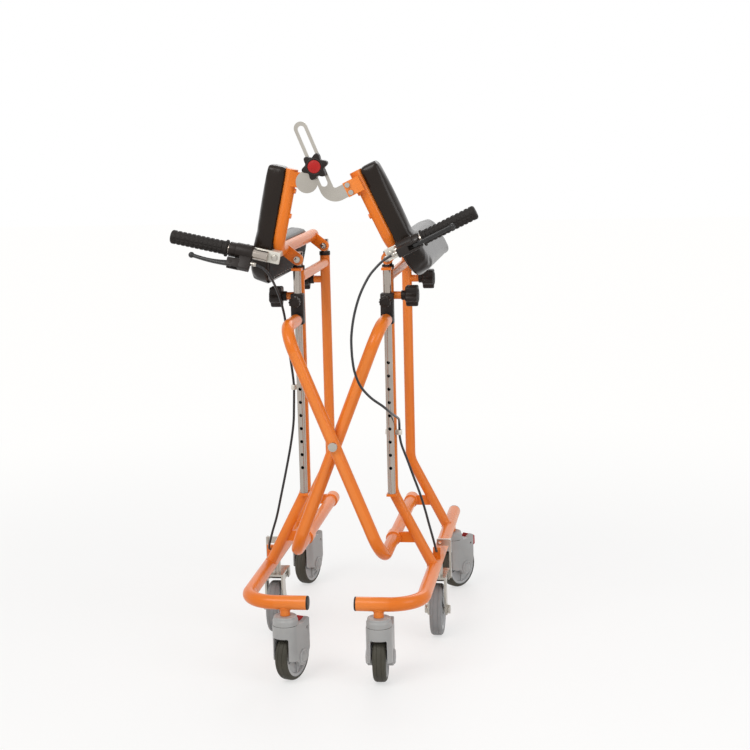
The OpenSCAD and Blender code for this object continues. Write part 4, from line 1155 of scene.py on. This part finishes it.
def background_rays(tree):
    """1 for rays that show the background itself: seen, mirrored or through glass."""
    path = add(tree, "ShaderNodeLightPath")
    total = path.outputs["Is Camera Ray"]
    for ray in ("Is Glossy Ray", "Is Transmission Ray"):
        plus = add(tree, "ShaderNodeMath", operation="ADD")
        tree.links.new(total, plus.inputs[0])
        tree.links.new(path.outputs[ray], plus.inputs[1])
        total = plus.outputs[0]
    return total


def make_stage():
    mesh = bmesh.new()
    bmesh.ops.create_grid(mesh, x_segments=1, y_segments=1, size=12)
    data = bpy.data.meshes.new("floor")
    mesh.to_mesh(data)
    mesh.free()
    floor = bpy.data.objects.new("floor", data)
    floor.location = (0, 0, -0.0005)
    scene.collection.objects.link(floor)
    material, tree, shader = new_material("pale floor")
    shader.inputs["Base Color"].default_value = (0.86, 0.85, 0.84, 1)
    shader.inputs["Roughness"].default_value = 0.55
    glow = add(tree, "ShaderNodeEmission")
    glow.inputs["Color"].default_value = (1.0, 0.995, 0.985, 1)
    place = add(tree, "ShaderNodeTexCoord")
    distance = add(tree, "ShaderNodeVectorMath", operation="LENGTH")
    tree.links.new(place.outputs["Object"], distance.inputs[0])
    fade = add(tree, "ShaderNodeMapRange", interpolation_type="SMOOTHSTEP")
    fade.inputs["From Min"].default_value = 0.5
    fade.inputs["From Max"].default_value = 2.4
    fade.inputs["To Min"].default_value = 0.6
    fade.inputs["To Max"].default_value = 1.0
    tree.links.new(distance.outputs["Value"], fade.inputs["Value"])
    amount = add(tree, "ShaderNodeMath", operation="MULTIPLY")
    tree.links.new(background_rays(tree), amount.inputs[0])
    tree.links.new(fade.outputs["Result"], amount.inputs[1])
    mix = add(tree, "ShaderNodeMixShader")
    tree.links.new(amount.outputs[0], mix.inputs["Fac"])
    tree.links.new(shader.outputs["BSDF"], mix.inputs[1])
    tree.links.new(glow.outputs["Emission"], mix.inputs[2])
    tree.links.new(mix.outputs["Shader"], tree.nodes["Material Output"].inputs["Surface"])
    data.materials.append(material)


def make_world():
    world = bpy.data.worlds.new("studio")
    scene.world = world
    world.use_nodes = True
    tree = world.node_tree
    tree.nodes.clear()
    seen = add(tree, "ShaderNodeBackground")
    seen.inputs["Color"].default_value = (1, 1, 1, 1)
    light = add(tree, "ShaderNodeBackground")
    light.inputs["Color"].default_value = (0.95, 0.97, 1, 1)
    light.inputs["Strength"].default_value = 0.55
    mix = add(tree, "ShaderNodeMixShader")
    output = add(tree, "ShaderNodeOutputWorld")
    tree.links.new(background_rays(tree), mix.inputs["Fac"])
    tree.links.new(light.outputs["Background"], mix.inputs[1])
    tree.links.new(seen.outputs["Background"], mix.inputs[2])
    tree.links.new(mix.outputs["Shader"], output.inputs["Surface"])


def soft_box(name, place, target, size, power, color):
    data = bpy.data.lights.new(name, "AREA")
    data.shape = "RECTANGLE"
    data.size, data.size_y = size
    data.energy = power
    data.color = color
    lamp = bpy.data.objects.new(name, data)
    lamp.location = place
    lamp.rotation_euler = (Vector(target) - Vector(place)).to_track_quat("-Z", "Y").to_euler()
    scene.collection.objects.link(lamp)


make_stage()
make_world()
soft_box("key", (-1.3, -2.4, 3.0), (0, 0, 0.5), (2.2, 1.6), 62, (1, 0.985, 0.96))
soft_box("fill", (2.6, -1.6, 1.8), (0, 0, 0.5), (1.6, 1.6), 24, (0.96, 0.98, 1))
soft_box("back", (0.4, 2.8, 2.6), (0, 0, 0.6), (2.4, 1.4), 30, (1, 1, 1))
scene.view_settings.view_transform = "Standard"
